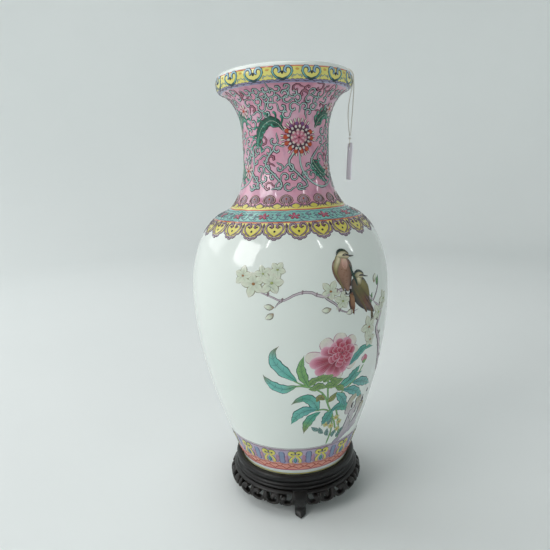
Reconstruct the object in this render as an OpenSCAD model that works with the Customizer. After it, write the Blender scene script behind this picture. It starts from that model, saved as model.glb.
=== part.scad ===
// Baluster vase of glazed porcelain on a low turned and carved hardwood stand,
// with a paper tag hanging on a cotton thread from its lip.
// Millimetres, +Z up. The origin is on the floor, on the vase's own axis,
// and one leg of the stand faces -Y.

/* [Vase profile] */
// Outer radius of the foot
foot_r = 53; // [44:0.5:64]
// Greatest outer radius, at the belly
belly_r = 92; // [76:0.5:111]
// Height from the foot to the widest line of the belly
belly_rise = 170; // [141:1:204]
// Height from the widest line to the shoulder line
shoulder_rise = 71.5; // [59:0.5:86]
// Outer radius at the shoulder line
shoulder_r = 59; // [50:0.5:65]
// Radius lost for each millimetre of height at the shoulder line
shoulder_slope = 2.7; // [1.9:0.1:3.2]
// Height from the shoulder line to the straight of the neck
throat_rise = 46.5; // [39:0.5:56]
// Outer radius of the neck
neck_r = 38.6; // [32:0.2:46]
// Length of the straight of the neck
neck_len = 17; // [14:0.5:21]
// Height of the flare from the neck to the mouth band
flare_rise = 40; // [33:0.5:48]
// Radius gained for each millimetre of height where the flare meets the band
flare_slope = 4; // [3:0.1:5]
// Outer radius of the mouth
mouth_r = 60.2; // [54:0.2:72]
// Half the height of the rolled lip
lip_half = 8; // [6.6:0.2:9.6]
// Height of the lip's widest line above the band's lower edge
band_low = 7; // [5.8:0.1:7.4]
// Depth of the lip's roll on the outside
lip_out = 5; // [4:0.1:6]
// Depth of the lip's roll on the inside
lip_in = 1.6; // [1.2:0.1:2]

/* [Vase walls] */
// Thickness of the porcelain wall
wall = 4; // [3.3:0.1:4.8]
// Thickness of the base
base_t = 5; // [4:0.1:6]
// Width of the foot ring
foot_ring_w = 6; // [5:0.1:7.2]
// Depth of the recess inside the foot ring
foot_recess = 5; // [4:0.1:6]
// Radius of the fillet between the base and the wall inside
base_fillet = 10; // [8:0.5:12]

/* [Stand] */
// Height of the stand's lip above the floor
stand_h = 37; // [31:0.5:44]
// Depth of the seat below the lip
seat_depth = 2.7; // [2:0.1:3.2]
// Room between the vase's side and the lip, at the top of the recess
foot_room = 0.3; // [0.3:0.1:1.2]
// Width of the lip's roll
rim_lip_w = 5.2; // [4.5:0.1:6.6]
// Height of the turned rim
rim_h = 13; // [11:0.5:15.5]
// Thickness of the seat board
board_t = 4; // [3.2:0.1:4.8]
// Width of the foot ring's seat that stays on the rim
rim_seat_w = 4.3; // [3:0.1:5.3]
// Width of the ledge under the seat board
board_ledge = 6; // [5:0.1:7.2]
// Height of the pierced apron
apron_h = 13; // [11:0.5:15.5]
// How far the apron swells past the rim
apron_swell = 7; // [5.5:0.1:8.4]
// Thickness of the apron
apron_t = 6.5; // [5.4:0.1:7.8]
// Radius of the larger piercings
pierce_r = 2.3; // [1.9:0.1:2.7]
// Width of a leg
leg_w = 13; // [11:0.5:15.6]
// Width of a leg's ankle
ankle_w = 9; // [7.5:0.1:10.8]
// Length of the pointed end of a toe
toe_point = 6; // [5:0.1:7.2]
// How far a toe stands out past the rim
toe_out = 8.5; // [7:0.1:10]
// Radius of the round tenon on a leg
tenon_r = 3; // [2.5:0.1:3.6]
// Length of the round tenon on a leg
tenon_l = 6; // [5:0.1:7.2]
// Radius of the dowels in the aprons
dowel_r = 1.2; // [1:0.1:1.4]
// Length of the dowels in the aprons
dowel_l = 10; // [8:0.5:12]

/* [Tag] */
// Height of the paper tag
tag_h = 32; // [26.5:0.5:38.5]
// Width of the paper tag
tag_w = 20; // [17:0.5:24]
// Thickness of the paper tag
tag_t = 0.5; // [0.4:0.05:0.6]
// Radius of the hole in the tag
tag_hole_r = 2; // [1.6:0.1:2.4]
// Distance from the top of the tag to the hole's centre
tag_hole_drop = 5; // [4.2:0.1:6]
// Angle of the tag's face from the plane through the vase's axis
tag_turn = 12; // [0:1:30]
// Diameter of the cotton thread
thread_d = 0.8; // [0.7:0.05:0.9]
// Radius of the knot above the tag
knot_r = 1.2; // [1:0.1:1.4]

// Angle round the vase that the tape covers
tape_span = 14; // [12:0.5:17]
// Height of the tape up the flare
tape_rise = 11; // [9:0.5:13]
// Height of the tape's lower edge above the straight of the neck
tape_low = 27; // [23:0.5:28]
// Thickness of the tape
tape_t = 0.4; // [0.3:0.05:0.5]
// Gap between the tape and the wall
tape_off = 0.1; // [0.05:0.05:0.15]

/* [Fits] */
// Gap left around glued wooden joints
glue_gap = 0.1; // [0.05:0.05:0.15]
// Gap between pieces that come apart
lift_gap = 0.3; // [0.2:0.05:0.4]

/* [Hidden] */
LEGS = 3;
LEG_STEP = 360 / LEGS;
DOWEL_ANGLES = [-28, 28];
SMOOTH = 96;

// Small roundings: on the foot ring, and on the rim's rolls and its recess
FOOT_CHAMFER = 2;
FOOT_EDGE = 0.8;
RIM_EDGE = 0.6;
// Angle between two points of the lip's roll
LIP_STEP = 6;
// Height of the rim's two rolls, and depth of the cove between them
BEAD_H = 3;
LIP_H = 6.4;
COVE_DEPTH = 2.4;
// Angle that the apron's swelling face turns through from its top to its bottom
SWELL_TURN = 126;
// Step between groups of piercings, and each hole of a group: its angle from the
// middle of the apron, its height as a share of the apron's and its share of the radius
PIERCE_STEP = 16;
PIERCES = [[9, 0.52, 1], [14.5, 0.36, 0.7], [4, -0.05, 0.9]];
// Wood left between a tenon or dowel and the rim's outer edge
GLUE_WALL = 1;
// Extra length that lets a cutting shape run past a surface
PAST = 1;

// Heights of the vase's lines above its own foot
z_belly = belly_rise;
z_shoulder = z_belly + shoulder_rise;
z_neck_low = z_shoulder + throat_rise;
z_neck_high = z_neck_low + neck_len;
z_band = z_neck_high + flare_rise;
z_lip_mid = z_band + band_low;
z_top = z_lip_mid + lip_half;
z_floor = foot_recess + base_t;

lip_mid_r = mouth_r - lip_out;
band_r = lip_mid_r + lip_out * sqrt(1 - pow(band_low / lip_half, 2));
inner_neck_r = neck_r - wall;
inner_mouth_r = lip_mid_r - lip_in;

// Heights and radii of the stand
seat_z = stand_h - seat_depth;
foot_z = seat_z + lift_gap;
recess_r = belly_at(seat_depth) + foot_room;
rim_r = recess_r + rim_lip_w;
board_r = recess_r - rim_seat_w;
rim_z = stand_h - rim_h;
apron_z = rim_z - apron_h;
apron_r = rim_r + apron_swell;
toe_r = rim_r + toe_out;

// The thread lies in the plane through the vase's axis at this angle from -Y.
// Its points are [outwards, along the lip, up] from the mouth's edge at the height of the top.
TAG_AZ = 80;
RING_STEP = 2.6;
THREAD_SIDES = 8;
top_z = foot_z + z_top;
OVER_LIP = [[1, 1.8, -6.4], [0.6, 1.8, -3.4], [-0.9, 1.8, -0.8], [-2.9, 1.8, 0.7],
    [-5, 1.8, 0.9], [-6.6, 1.8, -0.3], [-7.3, 1.8, -3.1], [-7.6, 1.8, -5.8],
    [-8.6, 1.8, -8.6], [-11.8, 1.8, -12.4], [-14.6, 1.8, -16.4], [-16.6, 1.8, -19.4],
    [-18.3, 1.6, -22.6], [-19.4, 0, -24.6], [-18.3, -1.6, -22.6], [-16.6, -1.8, -19.4],
    [-14.6, -1.8, -16.4], [-11.8, -1.8, -12.4], [-8.6, -1.8, -8.6], [-7.6, -1.8, -5.8],
    [-7.3, -1.8, -3.1], [-6.6, -1.8, -0.3], [-5, -1.8, 0.9], [-2.9, -1.8, 0.7],
    [-0.9, -1.8, -0.8], [0.6, -1.8, -3.4], [1, -1.8, -6.4]];
STRANDS = [[1, 1.8, -6.7], [1.3, 1.8, -12.1], [1, 1.8, -19.1], [0.4, 1.8, -27.6],
    [-0.3, 1.8, -36.1], [-1, 1.8, -44.1], [-1.5, 1.8, -50], [-2, 1.5, -53.6],
    [-2.4, 0, -55], [-2.8, -1.5, -53.6], [-3.2, -1.8, -50], [-3.7, -1.9, -44.1],
    [-3.9, -2, -36.6], [-3.2, -2, -28.1], [-1.6, -1.9, -20.1], [0, -1.8, -12.6],
    [1, -1.8, -6.7]];
KNOT = [-2.4, 0, -57.2];
HOLE = [-2.8, 0, -66.2];
TAG_TILT = 4;

// Quarter-ellipse arcs. The cosine of an arc's end angle, where it runs into a
// given slope after a given rise and run
function end_cos(slope, rise, run) = 1 / (slope * rise / run - 1);
// Depth of such an arc after the share t of its rise
function arc_in(t, c, run) = run * (1 - sqrt(1 - t * t * (1 - c * c))) / (1 - c);

function belly_at(z) = foot_r + (belly_r - foot_r) * sin(90 * z / z_belly);
function shoulder_at(z) = belly_r - arc_in((z - z_belly) / shoulder_rise,
    end_cos(shoulder_slope, shoulder_rise, belly_r - shoulder_r), belly_r - shoulder_r);
function throat_at(z) = neck_r + arc_in((z_neck_low - z) / throat_rise,
    end_cos(shoulder_slope, throat_rise, shoulder_r - neck_r), shoulder_r - neck_r);
function flare_at(z) = neck_r + arc_in((z - z_neck_high) / flare_rise,
    end_cos(flare_slope, flare_rise, band_r - neck_r), band_r - neck_r);
function outer_at(z) =
    z < z_belly ? belly_at(z)
    : z < z_shoulder ? shoulder_at(z)
    : z < z_neck_low ? throat_at(z)
    : z < z_neck_high ? neck_r
    : flare_at(z);

function slope_at(z) = (outer_at(z + 0.1) - outer_at(z - 0.1)) / 0.2;
// The point inside the wall from the outer point at a height
function inner_point(z) =
    let (s = slope_at(z), n = sqrt(1 + s * s))
    [outer_at(z) - wall / n, z + wall * s / n];

function steps(a, b, n) = [for (i = [0 : n - 1]) a + (b - a) * i / n];
function outer_heights() = concat(steps(FOOT_EDGE, z_belly, 16), steps(z_belly, z_shoulder, 14),
    steps(z_shoulder, z_neck_low, 10), steps(z_neck_high, z_band, 10));
function inner_heights() = concat(steps(z_floor + base_fillet, z_belly, 12),
    steps(z_belly, z_shoulder, 12), steps(z_shoulder, z_neck_low, 8));

// The lip's roll, as half ellipses outside and inside, over a range of angles
function lip_points(depth, a0, a1, n) = [for (i = [0 : n])
    let (a = a0 + (a1 - a0) * i / n)
    [lip_mid_r + depth * cos(a), z_lip_mid + lip_half * sin(a)]];

function inner_flare(n) =
    let (rise = z_lip_mid - z_neck_high, run = inner_mouth_r - inner_neck_r,
        c = end_cos(1, rise, run))
    [for (i = [n - 1 : -1 : 0]) [inner_neck_r + arc_in(i / n, c, run), z_neck_high + rise * i / n]];

function base_corner(n) =
    let (p = inner_point(z_floor + base_fillet))
    [for (i = [0 : n]) let (a = 90 * i / n)
        [p[0] - base_fillet + base_fillet * cos(a), p[1] - base_fillet * sin(a)]];

module vase_section() {
    band_angle = asin(band_low / lip_half);
    foot_in_r = foot_r - foot_ring_w;
    outside = [for (z = outer_heights()) [outer_at(z), z]];
    inside = [for (z = inner_heights()) inner_point(z)];
    inside_down = [for (i = [len(inside) - 1 : -1 : 1]) inside[i]];
    polygon(concat(
        [[0, foot_recess], [foot_in_r - FOOT_CHAMFER, foot_recess], [foot_in_r, foot_recess - FOOT_CHAMFER],
            [foot_in_r, FOOT_EDGE], [foot_in_r + FOOT_EDGE, 0], [foot_r - FOOT_EDGE, 0]],
        outside,
        lip_points(lip_out, -band_angle, 90, 14),
        lip_points(-lip_in, 90 - LIP_STEP, 0, 8),
        inner_flare(10),
        inside_down,
        base_corner(6),
        [[0, base_corner(1)[1][1]]]
    ));
}

module vase_body() {
    color("white") translate([0, 0, foot_z]) rotate_extrude($fn = SMOOTH) vase_section();
}

// One of the turned rim's rolls, as points on a half circle
function roll(r, z, h, n) = [for (i = [0 : n]) let (a = -90 + 180 * i / n)
    [r - h / 2 + h / 2 * cos(a), z + h / 2 + h / 2 * sin(a)]];

// The rim's lip, whose roll is an ellipse that starts in the cove and ends on top
function lip_roll(n) = [for (i = [0 : n]) let (a = -75 + 165 * i / n)
    [rim_r - COVE_DEPTH + COVE_DEPTH * cos(a), stand_h - LIP_H / 2 + LIP_H / 2 * sin(a)]];

module rim_section() {
    cove_r = rim_r - COVE_DEPTH;
    bead_top = rim_z + BEAD_H;
    lip_low = stand_h - LIP_H;
    ledge_z = seat_z - board_t;
    board_hole_r = board_r + glue_gap;
    polygon(concat(
        [[board_r - board_ledge, rim_z], [rim_r - BEAD_H / 2, rim_z]],
        roll(rim_r + RIM_EDGE, rim_z, BEAD_H, 6),
        [[cove_r + RIM_EDGE, bead_top + RIM_EDGE], [cove_r, bead_top + 2 * RIM_EDGE],
            [cove_r, lip_low - 2 * RIM_EDGE], [cove_r + RIM_EDGE / 2, lip_low - RIM_EDGE / 2]],
        lip_roll(10),
        [[recess_r + RIM_EDGE, stand_h], [recess_r, stand_h - RIM_EDGE], [recess_r, seat_z],
            [board_hole_r, seat_z], [board_hole_r, ledge_z], [board_r - board_ledge, ledge_z]]
    ));
}

module at_legs() {
    for (i = [0 : LEGS - 1]) rotate([0, 0, i * LEG_STEP]) children();
}

module at_dowels() {
    for (i = [0 : LEGS - 1], a = DOWEL_ANGLES)
        rotate([0, 0, i * LEG_STEP + LEG_STEP / 2 + a])
            translate([0, -(rim_r - apron_t / 2 - GLUE_WALL), 0]) children();
}

function tenon_place() = [0, -(rim_r - leg_w / 2 - GLUE_WALL), rim_z];

module stand_rim() {
    color("#231a17") difference() {
        rotate_extrude($fn = SMOOTH) rim_section();
        at_legs() translate(tenon_place() - [0, 0, PAST])
            cylinder(r = tenon_r + glue_gap, h = tenon_l + PAST + glue_gap, $fn = 32);
        at_dowels() translate([0, 0, rim_z - PAST])
            cylinder(r = dowel_r + glue_gap, h = dowel_l / 2 + PAST + glue_gap, $fn = 24);
    }
}

module seat_board() {
    color("#2b211d") translate([0, 0, seat_z - board_t])
        cylinder(r = board_r, h = board_t - glue_gap, $fn = SMOOTH);
}

// Outline of a leg seen from the side: radius outwards, height up
module leg_side() {
    knee_z = apron_z + apron_h * 0.45;
    polygon([
        [rim_r - leg_w, rim_z], [rim_r - 0.4, rim_z],
        [apron_r - 1.6, rim_z - 3], [apron_r + 0.4, knee_z + 2], [apron_r + 0.6, knee_z - 1],
        [apron_r - 0.6, apron_z], [apron_r - 3, apron_z * 0.62], [apron_r - 3.2, apron_z * 0.42],
        [toe_r - 2, 3.2], [toe_r - 0.3, 1.8], [toe_r, 0.7], [toe_r - 0.8, 0],
        [apron_r - 7.5, 0], [apron_r - 9, 2.4], [apron_r - 9.6, apron_z * 0.6],
        [apron_r - 10.5, apron_z], [rim_r - leg_w, apron_z + 4]
    ]);
}

// Outline of a leg seen from the front: across, height up
module leg_front() {
    half = leg_w / 2;
    right = [[ankle_w / 2, 0], [ankle_w / 2, apron_z * 0.4], [ankle_w / 2 - 0.6, apron_z * 0.6],
        [half - 1.2, apron_z - 0.4], [half, apron_z + 2], [half, rim_z]];
    polygon(concat(right, [for (i = [len(right) - 1 : -1 : 0]) [-right[i][0], right[i][1]]]));
}

// Outline of a leg seen from above: full width at the knee, and a pointed toe
module leg_plan(pointed) {
    half = leg_w / 2;
    tip = 0.9;
    inside = rim_r - leg_w - 1;
    shoulder = toe_r - toe_point;
    polygon(pointed
        ? [[-half, -inside], [-half, -shoulder], [-tip, -toe_r], [tip, -toe_r], [half, -shoulder], [half, -inside]]
        : [[-half, -inside], [-half, -toe_r], [half, -toe_r], [half, -inside]]);
}

module leg() {
    ankle_z = apron_z * 0.5;
    color("#231a17") union() {
        intersection() {
            rotate([90, 0, -90]) translate([0, 0, -leg_w]) linear_extrude(2 * leg_w) leg_side();
            rotate([90, 0, 0]) linear_extrude(toe_r + 1) leg_front();
            union() {
                linear_extrude(ankle_z) leg_plan(true);
                translate([0, 0, ankle_z]) linear_extrude(rim_z) leg_plan(false);
            }
        }
        translate(tenon_place() - [0, 0, PAST]) cylinder(r = tenon_r, h = tenon_l + PAST, $fn = 32);
    }
}

module leg_1() { leg(); }
module leg_2() { rotate([0, 0, LEG_STEP]) leg(); }
module leg_3() { rotate([0, 0, 2 * LEG_STEP]) leg(); }

// Section of the apron: its outer face swells out and turns in again below
module apron_section() {
    n = 8;
    outer = [for (i = [0 : n]) let (t = i / n)
        [rim_r - RIM_EDGE + (apron_swell - RIM_EDGE) * sin(SWELL_TURN * (1 - t)), apron_z + apron_h * t]];
    inner = [for (p = outer) [p[0] - apron_t, p[1]]];
    polygon(concat(outer, [for (i = [n : -1 : 0]) inner[i]]));
}

// A hole drilled outwards through the apron, at an angle and a height
module pierce(a, z, r) {
    rotate([0, 0, a]) translate([0, -rim_r + apron_t, z]) rotate([90, 0, 0])
        cylinder(r = r, h = 3 * apron_t, $fn = 24);
}

module apron() {
    color("#231a17") difference() {
        rotate([0, 0, -90 - LEG_STEP / 2]) rotate_extrude(angle = LEG_STEP, $fn = SMOOTH) apron_section();
        for (s = [-1, 1]) rotate([0, 0, s * LEG_STEP / 2])
            translate([-leg_w / 2 - glue_gap, -2 * apron_r, apron_z - PAST])
                cube([leg_w + 2 * glue_gap, 2 * apron_r, apron_h + 2 * PAST]);
        for (s = [-1, 1], k = [0 : 2], p = PIERCES)
            pierce(s * (p[0] + PIERCE_STEP * k), apron_z + p[1] * apron_h, p[2] * pierce_r);
        rotate([0, 0, -LEG_STEP / 2]) at_dowels() translate([0, 0, rim_z - dowel_l / 2 - glue_gap])
            cylinder(r = dowel_r + glue_gap, h = dowel_l, $fn = 24);
    }
}

module apron_1() { rotate([0, 0, LEG_STEP / 2]) apron(); }
module apron_2() { rotate([0, 0, 1.5 * LEG_STEP]) apron(); }
module apron_3() { rotate([0, 0, 2.5 * LEG_STEP]) apron(); }

module apron_dowels() {
    color("#6b4a2f") at_dowels() translate([0, 0, rim_z - dowel_l / 2])
        cylinder(r = dowel_r, h = dowel_l, $fn = 24);
}

// A flat patch of tape on the inside of the flare, over the thread's loop
module tape_section() {
    rise = z_lip_mid - z_neck_high;
    run = inner_mouth_r - inner_neck_r;
    c = end_cos(1, rise, run);
    heights = steps(tape_low, tape_low + tape_rise, 6);
    wall_line = [for (h = heights) [inner_neck_r + arc_in(h / rise, c, run), foot_z + z_neck_high + h]];
    polygon(concat([for (p = wall_line) p + tape_off * [-0.85, 0.53]],
        [for (i = [len(wall_line) - 1 : -1 : 0]) wall_line[i] + (tape_off + tape_t) * [-0.85, 0.53]]));
}

module thread_tape() {
    color("#e8e0c8") rotate([0, 0, TAG_AZ - 90 - tape_span / 2])
        rotate_extrude(angle = tape_span, $fn = SMOOTH) tape_section();
}

// A point of the thread's own plane in the model's frame
function placed(p) = let (r = mouth_r + p[0])
    [r * sin(TAG_AZ) + p[1] * cos(TAG_AZ), -r * cos(TAG_AZ) + p[1] * sin(TAG_AZ), top_z + p[2]];

// Smooth curve through points, with a share t of the way from point i to the next
function along(pts, i, t) =
    let (n = len(pts) - 1, a = pts[max(i - 1, 0)], b = pts[i], c = pts[i + 1], d = pts[min(i + 2, n)])
    b + t * ((c - a) / 2 + t * ((2 * a - 5 * b + 4 * c - d) / 2 + t * (3 * b - a - 3 * c + d) / 2));
function rings_on(pts, i) = max(1, round(norm(pts[i + 1] - pts[i]) / RING_STEP));
function curve(pts) = concat(
    [for (i = [0 : len(pts) - 2], k = [0 : rings_on(pts, i) - 1]) along(pts, i, k / rings_on(pts, i))],
    [pts[len(pts) - 1]]);

function unit(v) = v / norm(v);
function heading(path, i) = unit(path[min(i + 1, len(path) - 1)] - path[max(i - 1, 0)]);
function square_to(v, t) = unit(v - (v * t) * t);
// One side direction for each ring, carried along the path without twisting
function sides_of(path) = [for (i = 0, s = square_to([0.3, 1, 0.2], heading(path, 0)); i < len(path);
    i = i + 1, s = i < len(path) ? square_to(s, heading(path, i)) : s) s];

module tube(points, d) {
    path = curve(points);
    side = sides_of(path);
    n = THREAD_SIDES;
    m = len(path);
    rings = [for (i = [0 : m - 1], k = [0 : n - 1])
        let (t = heading(path, i), u = side[i], v = cross(t, u), a = 360 * k / n)
        path[i] + d / 2 * (cos(a) * u + sin(a) * v)];
    walls = [for (i = [0 : m - 2], k = [0 : n - 1])
        [i * n + k, (i + 1) * n + k, (i + 1) * n + (k + 1) % n, i * n + (k + 1) % n]];
    ends = [[for (k = [0 : n - 1]) k], [for (k = [n - 1 : -1 : 0]) (m - 1) * n + k]];
    polyhedron(rings, concat(walls, ends));
}

module thread_over_lip() {
    color("#f1efe9") tube([for (p = OVER_LIP) placed(p)], thread_d);
}

module thread_strands() {
    color("#f1efe9") tube([for (p = STRANDS) placed(p)], thread_d);
}

module in_tag_plane() {
    rotate([0, 0, TAG_AZ - 90]) translate([mouth_r, 0, top_z]) children();
}

// The knot, and the small loop under it that goes through the tag's hole
module thread_knot() {
    loop_r = 1.3;
    low = HOLE[2] + tag_hole_r - thread_d / 2 - glue_gap + loop_r;
    color("#f1efe9") in_tag_plane() translate([HOLE[0], 0, 0]) union() {
        translate([KNOT[0] - HOLE[0], 0, KNOT[2]]) sphere(r = knot_r, $fn = 24);
        for (s = [-1, 1]) translate([s * loop_r, 0, low]) cylinder(d = thread_d, h = KNOT[2] - low, $fn = 16);
        translate([0, 0, low]) rotate([90, 0, 0]) rotate([0, 0, 180])
            rotate_extrude(angle = 180, $fn = 24) translate([loop_r, 0]) circle(d = thread_d, $fn = 16);
        translate([-loop_r, 0, KNOT[2]]) rotate([0, 90, 0]) cylinder(d = thread_d, h = 2 * loop_r, $fn = 16);
    }
}

module tag_card() {
    corner = 2.5;
    color("#e9e6f4") in_tag_plane() translate([HOLE[0], 0, HOLE[2]])
        rotate([0, 0, tag_turn]) rotate([0, TAG_TILT, 0]) rotate([90, 0, 90])
        translate([0, 0, -tag_t / 2]) linear_extrude(tag_t) difference() {
            translate([0, tag_hole_drop]) polygon([
                [-tag_w / 2, -tag_h], [tag_w / 2, -tag_h], [tag_w / 2, -corner], [tag_w / 2 - corner, 0],
                [-tag_w / 2 + corner, 0], [-tag_w / 2, -corner]]);
            circle(r = tag_hole_r, $fn = 32);
        }
}

vase_body();
stand_rim();
seat_board();
leg_1();
leg_2();
leg_3();
apron_1();
apron_2();
apron_3();
apron_dowels();
thread_tape();
thread_over_lip();
thread_strands();
thread_knot();
tag_card();
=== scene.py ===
"""Looks of a baluster porcelain vase on a carved hardwood stand, with a string tag."""

import math

import bpy
import numpy as np
from mathutils import Matrix, Vector


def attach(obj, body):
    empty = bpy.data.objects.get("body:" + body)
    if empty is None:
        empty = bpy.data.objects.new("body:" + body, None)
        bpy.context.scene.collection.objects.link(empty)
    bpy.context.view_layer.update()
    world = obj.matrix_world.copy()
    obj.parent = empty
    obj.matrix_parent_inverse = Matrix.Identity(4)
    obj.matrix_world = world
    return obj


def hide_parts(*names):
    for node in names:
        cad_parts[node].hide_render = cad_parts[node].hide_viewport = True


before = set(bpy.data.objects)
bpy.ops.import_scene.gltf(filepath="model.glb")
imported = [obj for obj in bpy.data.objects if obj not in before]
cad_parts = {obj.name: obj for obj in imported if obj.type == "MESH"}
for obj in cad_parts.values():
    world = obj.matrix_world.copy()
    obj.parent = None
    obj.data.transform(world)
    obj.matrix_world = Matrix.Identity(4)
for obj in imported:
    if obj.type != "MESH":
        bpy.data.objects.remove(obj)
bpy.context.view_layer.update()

MM = 0.001
FULL_TURN = 2 * np.pi
DEGREES = np.pi / 180
rng = np.random.default_rng(36)


def srgb(*rgb):
    """Linear colour of a display colour: the usual curve, (c + 0.055) / 1.055 to the power 2.4."""
    c = np.asarray(rgb, float)
    return np.where(c < 0.04045, c / 12.92, ((c + 0.055) / 1.055) ** 2.4)


# ---------------------------------------------------------------- camera

CAMERA_PLACE = (-0.0244, -0.4653, 0.3102)
CAMERA_YAW, CAMERA_PITCH, CAMERA_ROLL, CAMERA_ROUND = -0.0301, 0.2036, 0.037, math.radians(-3)


def make_camera():
    """The camera's axes are a yaw, a pitch down and a roll, and then a turn round the vase's axis."""
    right = np.array([math.cos(CAMERA_YAW), -math.sin(CAMERA_YAW), 0])
    level = np.array([math.sin(CAMERA_YAW), math.cos(CAMERA_YAW), 0])
    up = math.sin(CAMERA_PITCH) * level + np.array([0, 0, math.cos(CAMERA_PITCH)])
    rolled_right = math.cos(CAMERA_ROLL) * right - math.sin(CAMERA_ROLL) * up
    rolled_up = math.sin(CAMERA_ROLL) * right + math.cos(CAMERA_ROLL) * up
    back = np.cross(rolled_right, rolled_up)
    axes = Matrix(np.stack([rolled_right, rolled_up, back], axis=1).tolist())
    lens = bpy.data.cameras.new("camera")
    lens.lens, lens.sensor_width = 32.51, 36
    lens.clip_start, lens.clip_end = 0.01, 50
    camera = bpy.data.objects.new("camera", lens)
    camera.matrix_world = (
        Matrix.Translation(CAMERA_PLACE) @ (Matrix.Rotation(CAMERA_ROUND, 3, "Z") @ axes).to_4x4()
    )
    bpy.context.collection.objects.link(camera)
    bpy.context.scene.camera = camera


# ---------------------------------------------------------------- meshes


def mesh_object(name, points, faces, material, uv=None, paint=None, extra=None):
    """A mesh from an array of points in metres and a list of face arrays, each (count, corners)."""
    mesh = bpy.data.meshes.new(name)
    corners = np.concatenate([f.ravel() for f in faces]).astype(np.int32)
    sizes = np.concatenate([np.full(len(f), f.shape[1]) for f in faces])
    starts = np.concatenate([[0], np.cumsum(sizes)[:-1]]).astype(np.int32)
    mesh.vertices.add(len(points))
    mesh.vertices.foreach_set("co", np.asarray(points, np.float32).ravel())
    mesh.loops.add(len(corners))
    mesh.loops.foreach_set("vertex_index", corners)
    mesh.polygons.add(len(sizes))
    mesh.polygons.foreach_set("loop_start", starts)
    mesh.polygons.foreach_set("use_smooth", np.ones(len(sizes), bool))
    mesh.update(calc_edges=True)
    if uv is not None:
        layer = mesh.uv_layers.new(name="OFBake")
        flat = np.concatenate([u.reshape(-1, 2) for u in uv]).ravel()
        layer.uv.foreach_set("vector", flat.astype(np.float32))
    if paint is not None:
        colour = mesh.color_attributes.new("paint", "FLOAT_COLOR", "POINT")
        rgba = np.concatenate([paint, np.ones((len(paint), 1))], axis=1)
        colour.data.foreach_set("color", rgba.astype(np.float32).ravel())
    for key, values in (extra or {}).items():
        mesh.attributes.new(key, "FLOAT", "POINT").data.foreach_set("value", values.astype(np.float32))
    mesh.validate()
    mesh.materials.append(material)
    piece = bpy.data.objects.new(name, mesh)
    bpy.context.collection.objects.link(piece)
    return piece


def grid_faces(rows, columns, start=0, close_rows=False, close_columns=False):
    """Four-cornered faces of a grid whose point (i, j) is number i * columns + j, with the i and the j of
    each corner."""
    i, j = np.meshgrid(
        np.arange(rows - (not close_rows)), np.arange(columns - (not close_columns)), indexing="ij"
    )
    i, j = i.ravel(), j.ravel()
    ci = np.stack([i, i + 1, i + 1, i], axis=1)
    cj = np.stack([j, j, j + 1, j + 1], axis=1)
    return start + (ci % rows) * columns + cj % columns, ci, cj


def revolve(name, profile, segments, material, extra=None):
    """A closed outline of (radius, height) in metres turned once round Z: the point at angle a is
    (r sin a, -r cos a, z). Its outline runs anticlockwise, up on the outside."""
    angle = FULL_TURN * np.arange(segments) / segments
    r, z = np.asarray(profile, float).T
    points = np.stack(
        [np.outer(r, np.sin(angle)), -np.outer(r, np.cos(angle)), np.repeat(z[:, None], segments, 1)], axis=-1
    )
    faces, ci, cj = grid_faces(len(r), segments, close_rows=True, close_columns=True)
    uv = np.stack([cj / segments, ci / len(r)], axis=-1)
    values = {k: np.repeat(v, segments) for k, v in (extra or {}).items()}
    return mesh_object(name, points.reshape(-1, 3), [faces[:, ::-1]], material, [uv[:, ::-1]], extra=values)


def smooth(points, count, even=False):
    """A Catmull-Rom curve through the points, at count places that crowd towards both ends, or evenly."""
    p = np.asarray(points, float)
    if len(p) > 2:
        padded = np.concatenate([[2 * p[0] - p[1]], p, [2 * p[-1] - p[-2]]])
        a, b, c, d = padded[:-3, None], padded[1:-2, None], padded[2:-1, None], padded[3:, None]
        t = np.linspace(0, 1, 12, endpoint=False)[None, :, None]
        bent, curled = (2 * a - 5 * b + 4 * c - d) / 2, (3 * b - a - 3 * c + d) / 2
        dense = b + t * ((c - a) / 2 + t * (bent + t * curled))
        p = np.concatenate([dense.reshape(-1, p.shape[1]), p[-1:]])
    run = np.concatenate([[0], np.cumsum(np.linalg.norm(np.diff(p, axis=0), axis=1))])
    t = np.linspace(0, 1, count)
    places = run[-1] * (t if even else (1 - np.cos(np.pi * t)) / 2)
    return np.stack([np.interp(places, run, column) for column in p.T], axis=1)


def carried_sides(path):
    """Unit tangents of a path, and a side direction at each point that is carried along it untwisted."""
    ahead = np.gradient(path, axis=0)
    ahead /= np.linalg.norm(ahead, axis=1)[:, None]
    side = [np.cross(ahead[0], [0.3, 1.0, 0.2])]
    for t in ahead:
        s = side[-1] - np.dot(side[-1], t) * t
        side.append(s / np.linalg.norm(s))
    return ahead, np.array(side[1:])


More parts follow.
